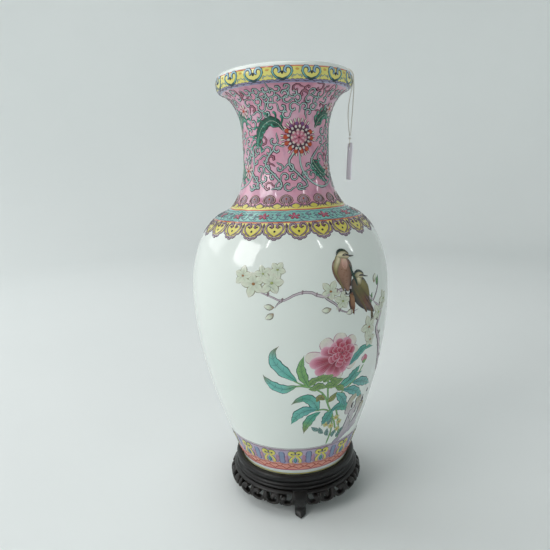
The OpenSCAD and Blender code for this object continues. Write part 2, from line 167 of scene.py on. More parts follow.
def plied_tube(name, path, diameter, material, plies=2, lay_length=2.6 * MM, around=12):
    """A twisted thread: a circle carried along the path, whose radius at angle a and length s is
    d/2 times (0.86 + 0.14 |cos(plies/2 (a - 2 pi s / lay))|), with closed ends."""
    ahead, side = carried_sides(path)
    other = np.cross(ahead, side)
    run = np.concatenate([[0], np.cumsum(np.linalg.norm(np.diff(path, axis=0), axis=1))])
    a = FULL_TURN * np.arange(around) / around
    twist = FULL_TURN * run / lay_length
    ply = np.abs(np.cos(plies / 2 * (a[None] - twist[:, None])))
    radius = diameter / 2 * (0.86 + 0.14 * ply)
    points = path[:, None] + radius[..., None] * (
        np.cos(a)[None, :, None] * side[:, None] + np.sin(a)[None, :, None] * other[:, None]
    )
    n = len(path)
    faces, ci, cj = grid_faces(n, around, close_columns=True)
    ring = np.arange(around)
    caps = np.stack([ring, (n - 1) * around + ring[::-1]])
    uv = np.stack([cj / around, ci / n], axis=-1)
    cap_uv = np.stack([np.tile(ring / around, (2, 1)), np.full((2, around), 0.5)], axis=-1)
    return mesh_object(name, points.reshape(-1, 3), [faces[:, ::-1], caps], material, [uv[:, ::-1], cap_uv],
                       extra={"ply": ply.ravel()})


def fit_up(piece, body, slot, *nodes):
    """Puts a piece on its body and hides the CAD nodes that it stands for. The slot is not used."""
    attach(piece, body)
    if nodes:
        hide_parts(*nodes)


def turned(points, turn):
    """Points (angle, height) moved round the vase by turn (degrees)."""
    return np.array(points, float) + [turn, 0]


# ---------------------------------------------------------------- materials


class Wire:
    """A value in a material. Arithmetic on it adds Math nodes, and node() adds any other node."""

    def __init__(self, tree, socket=None):
        self.tree, self.socket = tree, socket

    def node(self, kind, settings=None, inputs=None, output=0):
        """Adds a node, sets it, then fills or links its sockets, and gives back one of its outputs."""
        made = self.tree.nodes.new(kind)
        for key, value in (settings or {}).items():
            setattr(made, key, value)
        for key, value in (inputs or {}).items():
            if isinstance(value, Wire):
                self.tree.links.new(value.socket, made.inputs[key])
            elif np.ndim(value) == 1 and made.inputs[key].type == "RGBA":
                made.inputs[key].default_value = (*value, 1)
            else:
                made.inputs[key].default_value = value
        return Wire(self.tree, made.outputs[output])

    def maths(self, operation, a, b):
        """One step of arithmetic on two values."""
        return self.node("ShaderNodeMath", {"operation": operation}, {0: a, 1: b})

    def __add__(self, other):
        return self.maths("ADD", self, other)

    def __sub__(self, other):
        return self.maths("SUBTRACT", self, other)

    def __rsub__(self, other):
        return self.maths("SUBTRACT", other, self)

    def __mul__(self, other):
        return self.maths("MULTIPLY", self, other)

    def __gt__(self, other):
        return self.maths("GREATER_THAN", self, other)

    def __lt__(self, other):
        return self.maths("LESS_THAN", self, other)

    __radd__, __rmul__ = __add__, __mul__

    def noise(self, place, scale, detail=3.0, roughness=0.5):
        """Cloudy noise from 0 to 1 at a place."""
        return self.node("ShaderNodeTexNoise", None,
                         {"Vector": place, "Scale": scale, "Detail": detail, "Roughness": roughness})

    def stretched(self, place, scale):
        """The place times a scale for each axis, which draws a pattern out along the smallest."""
        return self.node("ShaderNodeMapping", None, {"Vector": place, "Scale": scale})

    def smoothstep(self, value, low, high):
        """0 below low, 1 above high and a soft step between them."""
        return self.node("ShaderNodeMapRange", {"interpolation_type": "SMOOTHSTEP"},
                         {"Value": value, "From Min": low, "From Max": high})

    def attribute(self, name, output="Fac"):
        """What a mesh's points carry under a name."""
        return self.node("ShaderNodeAttribute", {"attribute_name": name}, None, output)

    def mix(self, share, a, b):
        """The colour a where share is 0 and b where it is 1."""
        return self.node("ShaderNodeMix", {"data_type": "RGBA"}, {"Factor": share, 6: a, 7: b}, 2)

    def bump(self, height, strength, distance):
        """The normal of a surface raised by a height."""
        return self.node("ShaderNodeBump", None,
                         {"Height": height, "Strength": strength, "Distance": distance})


def finish_of(name, **constants):
    """A new material: its output, a Principled shader with these constants, and where its points are."""
    material = bpy.data.materials.new(name)
    material.use_nodes = True
    tree = material.node_tree
    shader = tree.nodes["Principled BSDF"]
    for key, value in constants.items():
        shader.inputs[key.replace("_", " ")].default_value = value
    wire = Wire(tree)
    place = wire.node("ShaderNodeTexCoord", output="Object")
    return material, shader, wire, place


def feed(wire, shader, **values):
    """Sets or links the shader's sockets, whose names have underscores here for their spaces."""
    for key, value in values.items():
        socket = shader.inputs[key.replace("_", " ")]
        if isinstance(value, Wire):
            wire.tree.links.new(value.socket, socket)
        else:
            socket.default_value = value


GLAZE = srgb(0.905, 0.93, 0.91)
YELLOW = srgb(0.90, 0.86, 0.42)
PINK = srgb(0.85, 0.57, 0.67)
LILAC = srgb(0.85, 0.68, 0.77)
TURQUOISE = srgb(0.48, 0.76, 0.72)
ORANGE_RED = srgb(0.78, 0.30, 0.14)
MAUVE = srgb(0.56, 0.46, 0.54)
LAVENDER = srgb(0.60, 0.60, 0.76)
CORAL = srgb(0.85, 0.55, 0.48)
MAGENTA = srgb(0.68, 0.25, 0.42)
GREY = srgb(0.48, 0.47, 0.50)

# Flat grounds of the painted bands: lower edge and upper edge (mm above the floor) and colour
GROUNDS = [
    (389.7, 391.0, srgb(0.78, 0.28, 0.16)), (379.7, 389.7, YELLOW), (378.8, 379.7, LAVENDER),
    (279.9, 282.6, YELLOW), (279.0, 279.9, ORANGE_RED), (271.1, 279.0, TURQUOISE),
    (270.2, 271.1, ORANGE_RED), (264.0, 270.2, YELLOW), (68.9, 69.5, GREY), (66.4, 68.5, MAUVE),
    (49.6, 66.4, srgb(0.66, 0.60, 0.70)), (43.0, 49.6, CORAL), (42.0, 43.0, MAGENTA),
    (36.9, 38.2, YELLOW),
]
NECK_GROUND = (282.6, 378.8)


def porcelain_finish():
    """White glaze, with the flat colours of the painted bands by height on the outside of the wall."""
    material, shader, wire, place = finish_of("porcelain_glaze", Roughness=0.1, IOR=1.5, Coat_Weight=0.35)
    shader.inputs["Coat Roughness"].default_value = 0.03
    z = wire.node("ShaderNodeSeparateXYZ", None, {0: place}, "Z")
    outside = wire.attribute("outside")
    waver = wire.noise(place, 90.0, 2.0)
    height = z * (1 / MM) + (waver - 0.5) * 0.9
    cloud = wire.noise(place, 14.0, 4.0)
    colour = wire.mix(cloud * 0.5, GLAZE, srgb(0.88, 0.91, 0.894))
    blotch = wire.smoothstep(wire.noise(place, 60.0, 3.0), 0.42, 0.62)
    deep = wire.smoothstep(wire.noise(wire.stretched(place, (1.3, 1.3, 0.8)), 85.0, 3.0), 0.5, 0.66)
    neck = wire.mix(deep * 0.6, wire.mix(blotch * 0.7, PINK, LILAC), srgb(0.72, 0.43, 0.57))
    bands = [(*NECK_GROUND, neck)] + GROUNDS
    # Here the noise is only uneven wear of the flat band grounds.
    wear_and_edge_highlight = wire.noise(place, 220.0, 2.0)
    for low, high, ground in bands:
        inside_band = (height > low) * (height < high) * outside
        colour = wire.mix(inside_band * (wear_and_edge_highlight * 0.25 + 0.8), colour, ground)
    rough = wire.noise(place, 300.0, 2.0) * 0.05 + 0.07
    peel = wire.noise(place, 160.0, 2.0)
    feed(wire, shader, Base_Color=colour, Roughness=rough, Normal=wire.bump(peel, 0.06, 0.0006))
    return material


def enamel_finish():
    """Raised enamel in the colour that each stroke carries, with a slightly uneven, glassy surface."""
    material, shader, wire, place = finish_of("overglaze_enamel", IOR=1.5, Coat_Weight=0.3)
    shader.inputs["Coat Roughness"].default_value = 0.05
    paint = wire.attribute("paint", "Color")
    pooled = wire.noise(place, 420.0, 3.0)
    darker = wire.node("ShaderNodeMix", {"data_type": "RGBA", "blend_type": "MULTIPLY"},
                       {"Factor": pooled * 0.55, 6: paint, 7: (0.55, 0.55, 0.55)}, 2)
    rough = wire.noise(place, 700.0, 2.0) * 0.12 + 0.1
    feed(wire, shader, Base_Color=darker, Roughness=rough, Normal=wire.bump(pooled, 0.12, 0.0004))
    return material


def dark_wood_finish(name, tone, ring_scale):
    """Black-brown stained hardwood: long grain, fine pores and a waxed sheen that edges wear through; these
    paler sharp edges are partly wear and partly a painted highlight.
    """
    material, shader, wire, place = finish_of(name, Coat_Weight=0.08, IOR=1.4)
    shader.inputs["Coat Roughness"].default_value = 0.22
    warp = wire.noise(place, 35.0, 3.0)
    grain = wire.noise(wire.stretched(place, (1.0, 1.0, 9.0)), ring_scale, 6.0, 0.65)
    pores = wire.noise(wire.stretched(place, (3.0, 3.0, 0.6)), 900.0, 3.0)
    streak = grain * 0.7 + warp * 0.3
    pale, dark = np.array(tone) * 1.9, np.array(tone) * 0.55
    colour = wire.mix(streak, dark, pale)
    # Sharp edges are painted paler: partly real wear, partly a painted highlight where they catch the light.
    edge = wire.node("ShaderNodeNewGeometry", None, None, "Pointiness")
    wear_and_edge_highlight = wire.node("ShaderNodeMapRange", None, {"Value": edge, "From Min": 0.52, "From Max": 0.6})
    colour = wire.mix(wear_and_edge_highlight * 0.35, colour, srgb(0.20, 0.17, 0.15))
    rough = grain * 0.18 + pores * 0.1 + 0.26
    height = grain * 0.6 + pores * 0.4
    feed(wire, shader, Base_Color=colour, Roughness=rough, Normal=wire.bump(height, 0.18, 0.0004))
    return material


def bare_wood_finish():
    """Unstained dowel wood with long pale and dark fibres."""
    material, shader, wire, place = finish_of("dowel_beech")
    fibre = wire.noise(wire.stretched(place, (8.0, 8.0, 1.0)), 160.0, 5.0)
    feed(wire, shader, Base_Color=wire.mix(fibre, srgb(0.45, 0.32, 0.2), srgb(0.72, 0.56, 0.38)),
         Roughness=fibre * 0.2 + 0.55, Normal=wire.bump(fibre, 0.3, 0.0003))
    return material


def cotton_finish():
    """White twisted cotton: painted shade makes it darker in the lay between the plies, with fine fibres."""
    material, shader, wire, place = finish_of("cotton_thread", Sheen_Weight=0.3)
    ply = wire.attribute("ply")
    fibre = wire.noise(place, 6000.0, 3.0)
    # Painted shade: the lay between the plies, where ply is low, is coloured darker.
    shade = ply * 0.7 + fibre * 0.3
    feed(wire, shader, Base_Color=wire.mix(shade, srgb(0.66, 0.64, 0.58), srgb(0.95, 0.94, 0.91)),
         Roughness=fibre * 0.2 + 0.7, Normal=wire.bump(fibre, 0.4, 0.00008))
    return material


def paper_finish(name, pale, dark, scale, strength):
    """Paper with faint cloudy fibres and a matt surface."""
    material, shader, wire, place = finish_of(name)
    cloud = wire.noise(place, scale * 0.2, 3.0)
    fibre = wire.noise(wire.stretched(place, (1.0, 1.0, 3.0)), scale, 5.0, 0.7)
    feed(wire, shader, Base_Color=wire.mix(cloud * 0.5 + fibre * 0.5, dark, pale),
         Roughness=fibre * 0.2 + 0.5, Normal=wire.bump(fibre, strength, 0.0001))
    return material


# ---------------------------------------------------------------- vase surface

FOOT_Z = 34.6
FOOT_R, BELLY_R, SHOULDER_R, NECK_R, MOUTH_R = 53.0, 92.0, 59.0, 38.6, 60.2
BELLY_RISE, SHOULDER_RISE, THROAT_RISE, NECK_LEN, FLARE_RISE = 170.0, 71.5, 46.5, 17.0, 40.0
SHOULDER_SLOPE, FLARE_SLOPE = 2.7, 4.0
LIP_HALF, BAND_LOW, LIP_OUT, LIP_IN, WALL = 8.0, 7.0, 5.0, 1.6, 4.0
Z_SHOULDER = BELLY_RISE + SHOULDER_RISE
Z_NECK_LOW = Z_SHOULDER + THROAT_RISE
Z_NECK_HIGH = Z_NECK_LOW + NECK_LEN
Z_BAND = Z_NECK_HIGH + FLARE_RISE
Z_LIP_MID = Z_BAND + BAND_LOW
LIP_MID_R = MOUTH_R - LIP_OUT
BAND_R = LIP_MID_R + LIP_OUT * math.sqrt(1 - (BAND_LOW / LIP_HALF) ** 2)
INNER_NECK_R, INNER_MOUTH_R = NECK_R - WALL, LIP_MID_R - LIP_IN


def arc_in(t, slope, rise, run):
    """Depth of a quarter-ellipse arc after the share t of its rise. The arc ends at the given slope."""
    c = 1 / (slope * rise / run - 1)
    return run * (1 - np.sqrt(np.clip(1 - t * t * (1 - c * c), 0, 1))) / (1 - c)


def outer_radius(height):
    """Outer radius (mm) at a height above the floor (mm): a sine up to the belly, two arcs that meet
    at the shoulder line, the straight of the neck, the flare's arc and the lip's half ellipse."""
    z = np.asarray(height, float) - FOOT_Z
    belly = FOOT_R + (BELLY_R - FOOT_R) * np.sin(np.pi / 2 * np.clip(z / BELLY_RISE, 0, 1))
    shoulder = BELLY_R - arc_in(
        np.clip((z - BELLY_RISE) / SHOULDER_RISE, 0, 1), SHOULDER_SLOPE, SHOULDER_RISE, BELLY_R - SHOULDER_R
    )
    throat = NECK_R + arc_in(
        np.clip((Z_NECK_LOW - z) / THROAT_RISE, 0, 1), SHOULDER_SLOPE, THROAT_RISE, SHOULDER_R - NECK_R
    )
    flare = NECK_R + arc_in(
        np.clip((z - Z_NECK_HIGH) / FLARE_RISE, 0, 1), FLARE_SLOPE, FLARE_RISE, BAND_R - NECK_R
    )
    lip = LIP_MID_R + LIP_OUT * np.sqrt(np.clip(1 - ((z - Z_LIP_MID) / LIP_HALF) ** 2, 0, 1))
    return np.select(
        [z < BELLY_RISE, z < Z_SHOULDER, z < Z_NECK_LOW, z < Z_BAND], [belly, shoulder, throat, flare], lip
    )


def slant(height):
    """Radius gained for each millimetre of height."""
    return (outer_radius(height + 0.05) - outer_radius(height - 0.05)) / 0.1


def on_vase(angle, height, lift):
    """The point (metres) at an angle (degrees from -Y towards +X) and a height (mm), lifted off the
    glaze by lift (mm) along the surface's own normal."""
    slope = slant(height)
    size = np.sqrt(1 + slope**2)
    r = outer_radius(height) + lift / size
    z = height - lift * slope / size
    a = angle * DEGREES
    return np.stack([r * np.sin(a), -r * np.cos(a), z], axis=-1) * MM


def vase_outline():
    """The wall's closed outline (mm above the foot), and 1 for each point on its painted outside."""
    foot_ring, recess, chamfer, edge, floor, fillet = 6.0, 5.0, 2.0, 0.8, 10.0, 10.0
    inner_foot = FOOT_R - foot_ring
    foot = [(0.4, recess), (inner_foot / 2, recess), (inner_foot - chamfer, recess),
            (inner_foot, recess - chamfer), (inner_foot, edge), (inner_foot + 0.2 * edge, 0.2 * edge),
            (inner_foot + edge, 0), (FOOT_R - edge, 0), (FOOT_R - 0.2 * edge, 0.2 * edge)]
    heights = np.concatenate([np.linspace(edge, BELLY_RISE, 70, endpoint=False),
                              np.linspace(BELLY_RISE, Z_SHOULDER, 44, endpoint=False),
                              np.linspace(Z_SHOULDER, Z_NECK_LOW, 26, endpoint=False),
                              np.linspace(Z_NECK_LOW, Z_NECK_HIGH, 6, endpoint=False),
                              np.linspace(Z_NECK_HIGH, Z_BAND - 2, 22, endpoint=False),
                              np.linspace(Z_BAND - 2, Z_BAND, 8, endpoint=False)])
    outside = np.stack([outer_radius(heights + FOOT_Z), heights], axis=1)
    band_angle = math.asin(BAND_LOW / LIP_HALF)
    a = np.linspace(-band_angle, np.pi / 2, 30)
    lip = np.stack([LIP_MID_R + LIP_OUT * np.cos(a), Z_LIP_MID + LIP_HALF * np.sin(a)], axis=1)
    a = np.linspace(np.pi / 2, 0, 16)[1:]
    lip_inside = np.stack([LIP_MID_R - LIP_IN * np.cos(a), Z_LIP_MID + LIP_HALF * np.sin(a)], axis=1)
    t = np.linspace(1, 0, 24)[1:]
    rise = Z_LIP_MID - Z_NECK_HIGH
    flare = np.stack([INNER_NECK_R + arc_in(t, 1, rise, INNER_MOUTH_R - INNER_NECK_R),
                      Z_NECK_HIGH + rise * t], axis=1)
    down = np.linspace(Z_NECK_LOW, floor + fillet, 60)
    slope = slant(down + FOOT_Z)
    size = np.sqrt(1 + slope**2)
    inside = np.stack([outer_radius(down + FOOT_Z) - WALL / size, down + WALL * slope / size], axis=1)
    corner = inside[-1]
    a = np.linspace(0, np.pi / 2, 8)[1:]
    base = np.stack([corner[0] - fillet + fillet * np.cos(a), corner[1] - fillet * np.sin(a)], axis=1)
    middle = [(base[-1, 0] / 2, base[-1, 1]), (0.4, base[-1, 1])]
    outline = np.concatenate([foot, outside, lip, lip_inside, flare, inside, base, middle])
    painted = np.zeros(len(outline))
    painted[len(foot): len(foot) + len(outside) + len(lip) - 12] = 1
    return outline, painted


def make_vase(material):
    """The body: its outline, raised onto the seat of the stand and turned once round."""
    outline, painted = vase_outline()
    profile = (outline + [0, FOOT_Z]) * MM
    return revolve("glazed_body", profile, 256, material, {"outside": painted})


# ---------------------------------------------------------------- enamel strokes

# Places across a stroke from its left edge to its right, and how much of the edge colour each takes
PLAIN = ([-1, -0.6, 0, 0.6, 1], [0, 0, 0, 0, 0])
FINE = ([-1, 0, 1], [0, 0, 0])
LINED = ([-1, -0.74, -0.54, 0, 0.54, 0.74, 1], [1, 1, 0, 0, 0, 1, 1])
HOOKED = ([-1, -0.5, 0.5, 1], [1, 0, 0, 1])
INKED = ([-1, -0.56, -0.4, 0.4, 0.56, 1], [1, 1, 0, 0, 1, 1])
CURLED = ([-1, -0.42, -0.28, 0.28, 0.42, 1], [1, 1, 0, 0, 1, 1])
OUTLINED = ([-1, -0.84, -0.7, 0.7, 0.84, 1], [1, 1, 0, 0, 1, 1])
FRINGED = ([-1, -0.9, -0.55, 0, 0.55, 0.9, 1], [1, 0.9, 0.25, 0, 0.25, 0.9, 1])
SHADED = ([-1, -0.8, -0.45, 0, 0.45, 0.8, 1], [1, 0.8, 0.35, 0, 0.35, 0.8, 1])

# How a stroke's width runs along its length t
FORMS = {
    "line": lambda t: np.sqrt(1 - np.abs(2 * t - 1) ** 8),
    "taper": lambda t: (1 - 0.8 * t) * np.sqrt(1 - np.abs(2 * t - 1) ** 8),
    "leaf": lambda t: np.sin(np.pi * t) ** 0.85,
    "petal": lambda t: t**0.5 * np.sqrt(1 - t**5) * 1.12,
    "drop": lambda t: (0.5 + 0.5 * t**2) * np.sqrt(1 - np.abs(2 * t - 1) ** 7),
    "blob": lambda t: np.sqrt(1 - (2 * t - 1) ** 2),
    "bird": lambda t: np.sin(np.pi * t**0.62) ** 0.75,
    "slim": lambda t: np.sin(np.pi * t**0.8) ** 1.15,
    "feather": lambda t: np.sqrt(t) * (1 - 0.75 * t**3) * np.sqrt(1 - t**12),
}


class Painting:
    """Strokes of raised enamel that become one piece. A stroke is a thin closed ribbon: its spine is a
    curve of (angle, height), its top is crowned, and its underside is sunk below the glaze."""

    def __init__(self, name, surface=on_vase, radius=outer_radius, slope=slant):
        self.name, self.surface, self.radius, self.slope = name, surface, radius, slope
        self.points, self.paint, self.faces, self.uv = [], [], [], []
        self.ends, self.ends_uv = [], []
        self.total = self.count = 0

    def local(self, angle, height, shape, turn=0.0, size=1.0, flip=1.0):
        """Points (mm across, mm up the surface) as (angle, height), turned, sized and flipped there."""
        x, y = (np.asarray(shape, float) * [flip * size, size]).T
        c, s = math.cos(turn * DEGREES), math.sin(turn * DEGREES)
        x, y = c * x - s * y, s * x + c * y
        h = height + y / np.sqrt(1 + self.slope(height) ** 2)
        return np.stack([angle + x / self.radius(h) / DEGREES, h], axis=1)

    def stroke(self, line, half, fill, edge=None, form="line", bands=PLAIN, n=14, lift=0.1, crown=0.14,
               teeth=0, sunk=(0.15,)):
        """Adds a ribbon along line, of half width half (mm). fill is a colour, or several along it."""
        spine = smooth(line, n)
        t = (1 - np.cos(np.pi * np.linspace(0, 1, n))) / 2
        angle, height = spine.T
        r, g = self.radius(height), np.sqrt(1 + self.slope(height) ** 2)
        along = np.stack([np.gradient(angle) * DEGREES * r, np.gradient(height) * g])
        along /= np.maximum(np.linalg.norm(along, axis=0), 1e-9)
        toothed = 1 + 0.1 * (teeth > 0) * np.sin(FULL_TURN * teeth * t)
        width = half * np.maximum(FORMS[form](t), 0.03) * toothed
        places, weights = np.array(bands[0], float), np.array(bands[1], float)
        across = np.concatenate([places, [0] if len(sunk) == 1 else [1, -1]])
        crowned = lift + crown * np.sqrt(1 - places**2)
        lifts = np.concatenate([crowned - lift * (np.abs(places) == 1), -np.array(sunk)])
        offset = width[:, None] * across[None]
        h = height[:, None] + offset * along[0][:, None] / g[:, None]
        a = angle[:, None] - offset * along[1][:, None] / r[:, None] / DEGREES
        rise = lifts[None] * np.clip(width[:, None] / (0.35 * half), 0.3, 1)
        self.points.append(self.surface(a, h, np.where(lifts[None] < 0, lifts[None], rise)).reshape(-1, 3))
        fills = np.atleast_2d(fill)
        stops = np.linspace(0, 1, len(fills))
        along_colour = np.stack([np.interp(t, stops, channel) for channel in fills.T], axis=1)
        weight = np.concatenate([weights, np.full(len(sunk), weights[-1])])[None, :, None]
        edges = along_colour * 0.6 if edge is None else np.broadcast_to(edge, along_colour.shape)
        colour = along_colour[:, None] * (1 - weight) + edges[:, None] * weight
        self.paint.append(colour.reshape(-1, 3))
        ring = len(across)
        faces, ci, cj = grid_faces(n, ring, self.total, close_columns=True)
        self.faces.append(faces)
        rim = self.total + np.arange(ring)
        self.ends.append((rim, rim[::-1] + (n - 1) * ring))
        cell = 0.06 + 0.88 * np.stack([cj / ring, ci / (n - 1)], axis=-1)
        self.uv.append((cell, self.count))
        self.ends_uv.append((ring, self.count))
        self.total += n * ring
        self.count += 1

    def dot(self, angle, height, half, fill, **how):
        """Adds a round spot of a radius half (mm)."""
        self.stroke(self.local(angle, height, [(-half, 0), (half, 0)]), half, fill, form="blob", **how)

    def build(self, body, material, slot, *replaced):
        """Joins the strokes into one piece. Each stroke has its own cell of the UV square."""
        side = math.ceil(math.sqrt(self.count))
        uv = [(cell + [k % side, k // side]) / side for cell, k in self.uv]
        faces = list(self.faces)
        for (start, end), (ring, k) in zip(self.ends, self.ends_uv):
            across = np.stack([np.linspace(0.06, 0.94, ring), np.full(ring, 0.5)], axis=1)
            at = (across + [k % side, k // side]) / side
            faces += [start[None], end[None]]
            uv += [at[None], at[None]]
        piece = mesh_object(self.name, np.concatenate(self.points), faces, material, uv,
                            np.concatenate(self.paint))
        fit_up(piece, body, slot, *replaced)


# Enamel colours
DARK = srgb(0.13, 0.20, 0.23)
BLACK = srgb(0.09, 0.09, 0.10)
CURL = srgb(0.70, 0.82, 0.80)
SKY = srgb(0.60, 0.76, 0.84)
DEEP_TEAL = srgb(0.10, 0.36, 0.38)
NAVY = srgb(0.16, 0.24, 0.42)
EMERALD = srgb(0.05, 0.40, 0.31)
DARK_GREEN = srgb(0.05, 0.20, 0.16)
MAROON = srgb(0.42, 0.12, 0.20)
CRIMSON = srgb(0.70, 0.20, 0.31)
ROSE = srgb(0.86, 0.52, 0.62)
BLUSH = srgb(0.92, 0.80, 0.83)
IVORY = srgb(0.90, 0.90, 0.84)
PALE_GREEN = srgb(0.88, 0.92, 0.84)
LEAF_BLUE = srgb(0.34, 0.72, 0.62)
LEAF_GREEN = srgb(0.50, 0.70, 0.42)
VEIN = srgb(0.10, 0.34, 0.32)
BARK = srgb(0.58, 0.51, 0.53)
BARK_DARK = srgb(0.26, 0.20, 0.24)
ROCK = srgb(0.72, 0.69, 0.75)
ROCK_OLIVE = srgb(0.68, 0.67, 0.52)
CREAM = srgb(0.92, 0.88, 0.74)
PINK_BROWN = srgb(0.62, 0.47, 0.38)
OLIVE = srgb(0.40, 0.38, 0.18)
BROWN = srgb(0.45, 0.26, 0.14)
CORAL_RED = srgb(0.68, 0.26, 0.22)

HOOK = [(0, -4.6), (-4.4, -3.4), (-7.6, 0.2), (-6.6, 3.9), (-3.2, 4.3), (-1.9, 1.4), (-3.6, 0.0)]
CURL_SHAPE = [(-5.6, -3.2), (-3.6, -0.4), (-3.0, 2.2), (-0.4, 3.8), (2.6, 2.4), (2.8, -0.7), (0.6, -1.7),
              (-0.4, -0.2)]


def scalloped(count, angle, height, depth, points=6):
    """A line right round the vase with that many lobes, as (angle, height)."""
    t = np.linspace(0, 1, count * points + 1)
    return np.stack([angle + 360 * t, height - depth * np.abs(np.sin(np.pi * count * t))], axis=1)


def round_line(art, line, half, colour, pieces=8, **how):
    """A long line round the vase, laid as several strokes that overlap a little."""
    step = (len(line) - 1) // pieces
    for k in range(pieces):
        part = line[k * step: min((k + 1) * step + 2, len(line))]
        art.stroke(part, half, colour, bands=FINE, n=min(3 * len(part), 60), **how)


def mouth_border():
    """Sixteen cloud-heads of two hooks each on the yellow band, with small waves between them."""
    art = Painting("mouth_border_enamel")
    for k in range(16):
        angle = -4 + 22.5 * k
        for x in (-8.0, -3.9, 0, 3.9, 8.0, 11.8):
            art.stroke(art.local(angle, 380.3, [(x - 2.0, 0), (x + 2.0, 0)]), 1.0, LAVENDER, edge=MAUVE * 0.6,
                       form="blob", bands=INKED, n=7, lift=0.08)
        for flip in (-1, 1):
            art.stroke(art.local(angle, 385.4, HOOK, flip=flip), 1.9, [DEEP_TEAL, TURQUOISE, SKY, SKY],
                       edge=NAVY * 0.6, form="drop", bands=INKED, n=16, lift=0.14)
            wave = [(7.4, -3.6), (8.8, -1.6), (10.4, -2.2), (11.8, -0.6)]
            art.stroke(art.local(angle, 385.2, wave, flip=flip), 0.8, CURL, edge=DARK, form="taper",
                       bands=INKED, n=8, lift=0.12)
        art.stroke(art.local(angle, 385.2, [(-4.6, -2.4), (0, -4.7), (4.6, -2.4)]), 1.3,
                   [DEEP_TEAL, DARK, DEEP_TEAL], form="leaf", n=10, lift=0.22)
        art.stroke(art.local(angle, 385.2, [(0, -0.9), (0, 1.5)]), 1.1, BLACK, form="blob", n=7, lift=0.15)
        art.stroke(art.local(angle + 11.25, 385.2, [(-1.6, 2.6), (1.6, 2.6)]), 0.9,
                   srgb(0.86, 0.68, 0.34), form="blob", n=6)
    round_line(art, scalloped(48, 0, 379.3, -0.8), 0.45, srgb(0.34, 0.28, 0.40), pieces=12)
    return art


NECK_TURNS = (0, 120, 240)
# What the scrolls leave free in each third of the neck: angle, height, half width and half height
NECK_CLEAR = [(14, 338, 27, 19), (-22, 347, 22, 8), (50, 353, 16, 7), (46, 312, 14, 8), (-58, 362, 8, 7),
              (-60, 312, 9, 7), (16, 318, 5, 8), (40, 299, 24, 4)]


def neck_scrolls():
    """Rows of small hooked curls over the pink neck, with longer double-lined stems between them."""
    art = Painting("neck_scroll_enamel")
    rows = [298.5, 306, 313.5, 321, 328.5, 336, 343.5, 350.5, 357, 362.6, 367.6, 371.8, 375.4]
    for number, height in enumerate(rows):
        around = int(round(FULL_TURN * float(outer_radius(height)) / 8.8))
        for k in range(around):
            angle = (360 * (k + 0.5 * (number % 2)) / around + rng.uniform(-1.6, 1.6) + 180) % 360 - 180
            h = height + rng.uniform(-1.0, 1.0)
            size, turn = rng.uniform(0.8, 1.08), rng.uniform(0, 360)
            flip, maroon = rng.choice([-1, 1]), rng.random() < 0.14
            if any(abs((angle - a - third + 180) % 360 - 180) < wide and abs(h - z) < tall
                   for third in NECK_TURNS for a, z, wide, tall in NECK_CLEAR):
                continue
            shade = rng.uniform(0.88, 1.12)
            fill, edge = (srgb(0.72, 0.46, 0.54), MAROON * 0.5) if maroon else (CURL * shade, DARK * 0.45)
            art.stroke(art.local(angle, h, CURL_SHAPE, turn, size, flip), 1.75, fill, edge=edge, form="drop",
                       bands=CURLED, n=12, lift=0.1)
    for k in range(12):
        angle = 30 * k + 8
        stem = [(angle, 296), (angle + 14, 299), (angle + 4, 308), (angle - 8, 318), (angle + 6, 331)]
        art.stroke(stem, 1.3, CURL, edge=DARK * 0.5, bands=CURLED, n=24, lift=0.14)
    return art


def petal_ring(art, angle, height, count, near, far, half, fill, edge, start=0.0, form="petal", lift=0.12,
               skip=()):
    """Petals round a point, from the distance near to the distance far."""
    for k in range(count):
        if k in skip:
            continue
        turn = start + 360 * k / count
        art.stroke(art.local(angle, height, [(near, 0), ((near + far) / 2, 0.0), (far, 0)], turn), half,
                   fill, edge=edge, form=form, bands=LINED, n=11, lift=lift)


def lotus(art, angle, height, size=1.0):
    """A large round flower: pale clusters outside, red petals, a ring of beads and a pink heart."""
    for turn in (4, 66, 104, 132, 186, 246, 292):
        for lean in (-13, 0, 13):
            art.stroke(art.local(angle, height, [(11.4 * size, 0), (15.8 * size, 0)], turn + lean),
                       1.45 * size, [ROSE, IVORY, IVORY], edge=MAROON * 0.6, form="petal", bands=INKED, n=9,
                       lift=0.14)
    petal_ring(art, angle, height, 14, 8 * size, 13.4 * size, 2.7 * size, [MAROON, ORANGE_RED, ORANGE_RED],
               MAROON, 100, lift=0.2, skip=(12, 13, 0, 1))
    petal_ring(art, angle, height, 14, 8 * size, 12.8 * size, 2.7 * size,
               [MAROON, srgb(0.50, 0.32, 0.58)], MAROON, 100, lift=0.2, skip=tuple(range(2, 12)))
    art.dot(angle, height, 10.6 * size, srgb(0.30, 0.16, 0.24), n=20, lift=0.26, crown=0.05)
    for k in range(17):
        turn = 360 * k / 17
        art.stroke(art.local(angle, height, [(7.9 * size, 0), (10.4 * size, 0)], turn), 1.25 * size,
                   srgb(0.88, 0.84, 0.82), form="blob", n=7, lift=0.34)
    art.dot(angle, height, 7.2 * size, ROSE, edge=MAROON, bands=LINED, n=18, lift=0.34, crown=0.05)
    petal_ring(art, angle, height, 9, 2.2 * size, 7.0 * size, 2.3 * size, [CRIMSON, ROSE, IVORY], MAROON, 20,
               lift=0.42)
    petal_ring(art, angle, height, 6, 0.2 * size, 4.4 * size, 2.0 * size, [CRIMSON, ROSE, BLUSH], MAROON, 50,
               lift=0.52)
    art.dot(angle, height, 1.2, MAROON, n=7, lift=0.7)


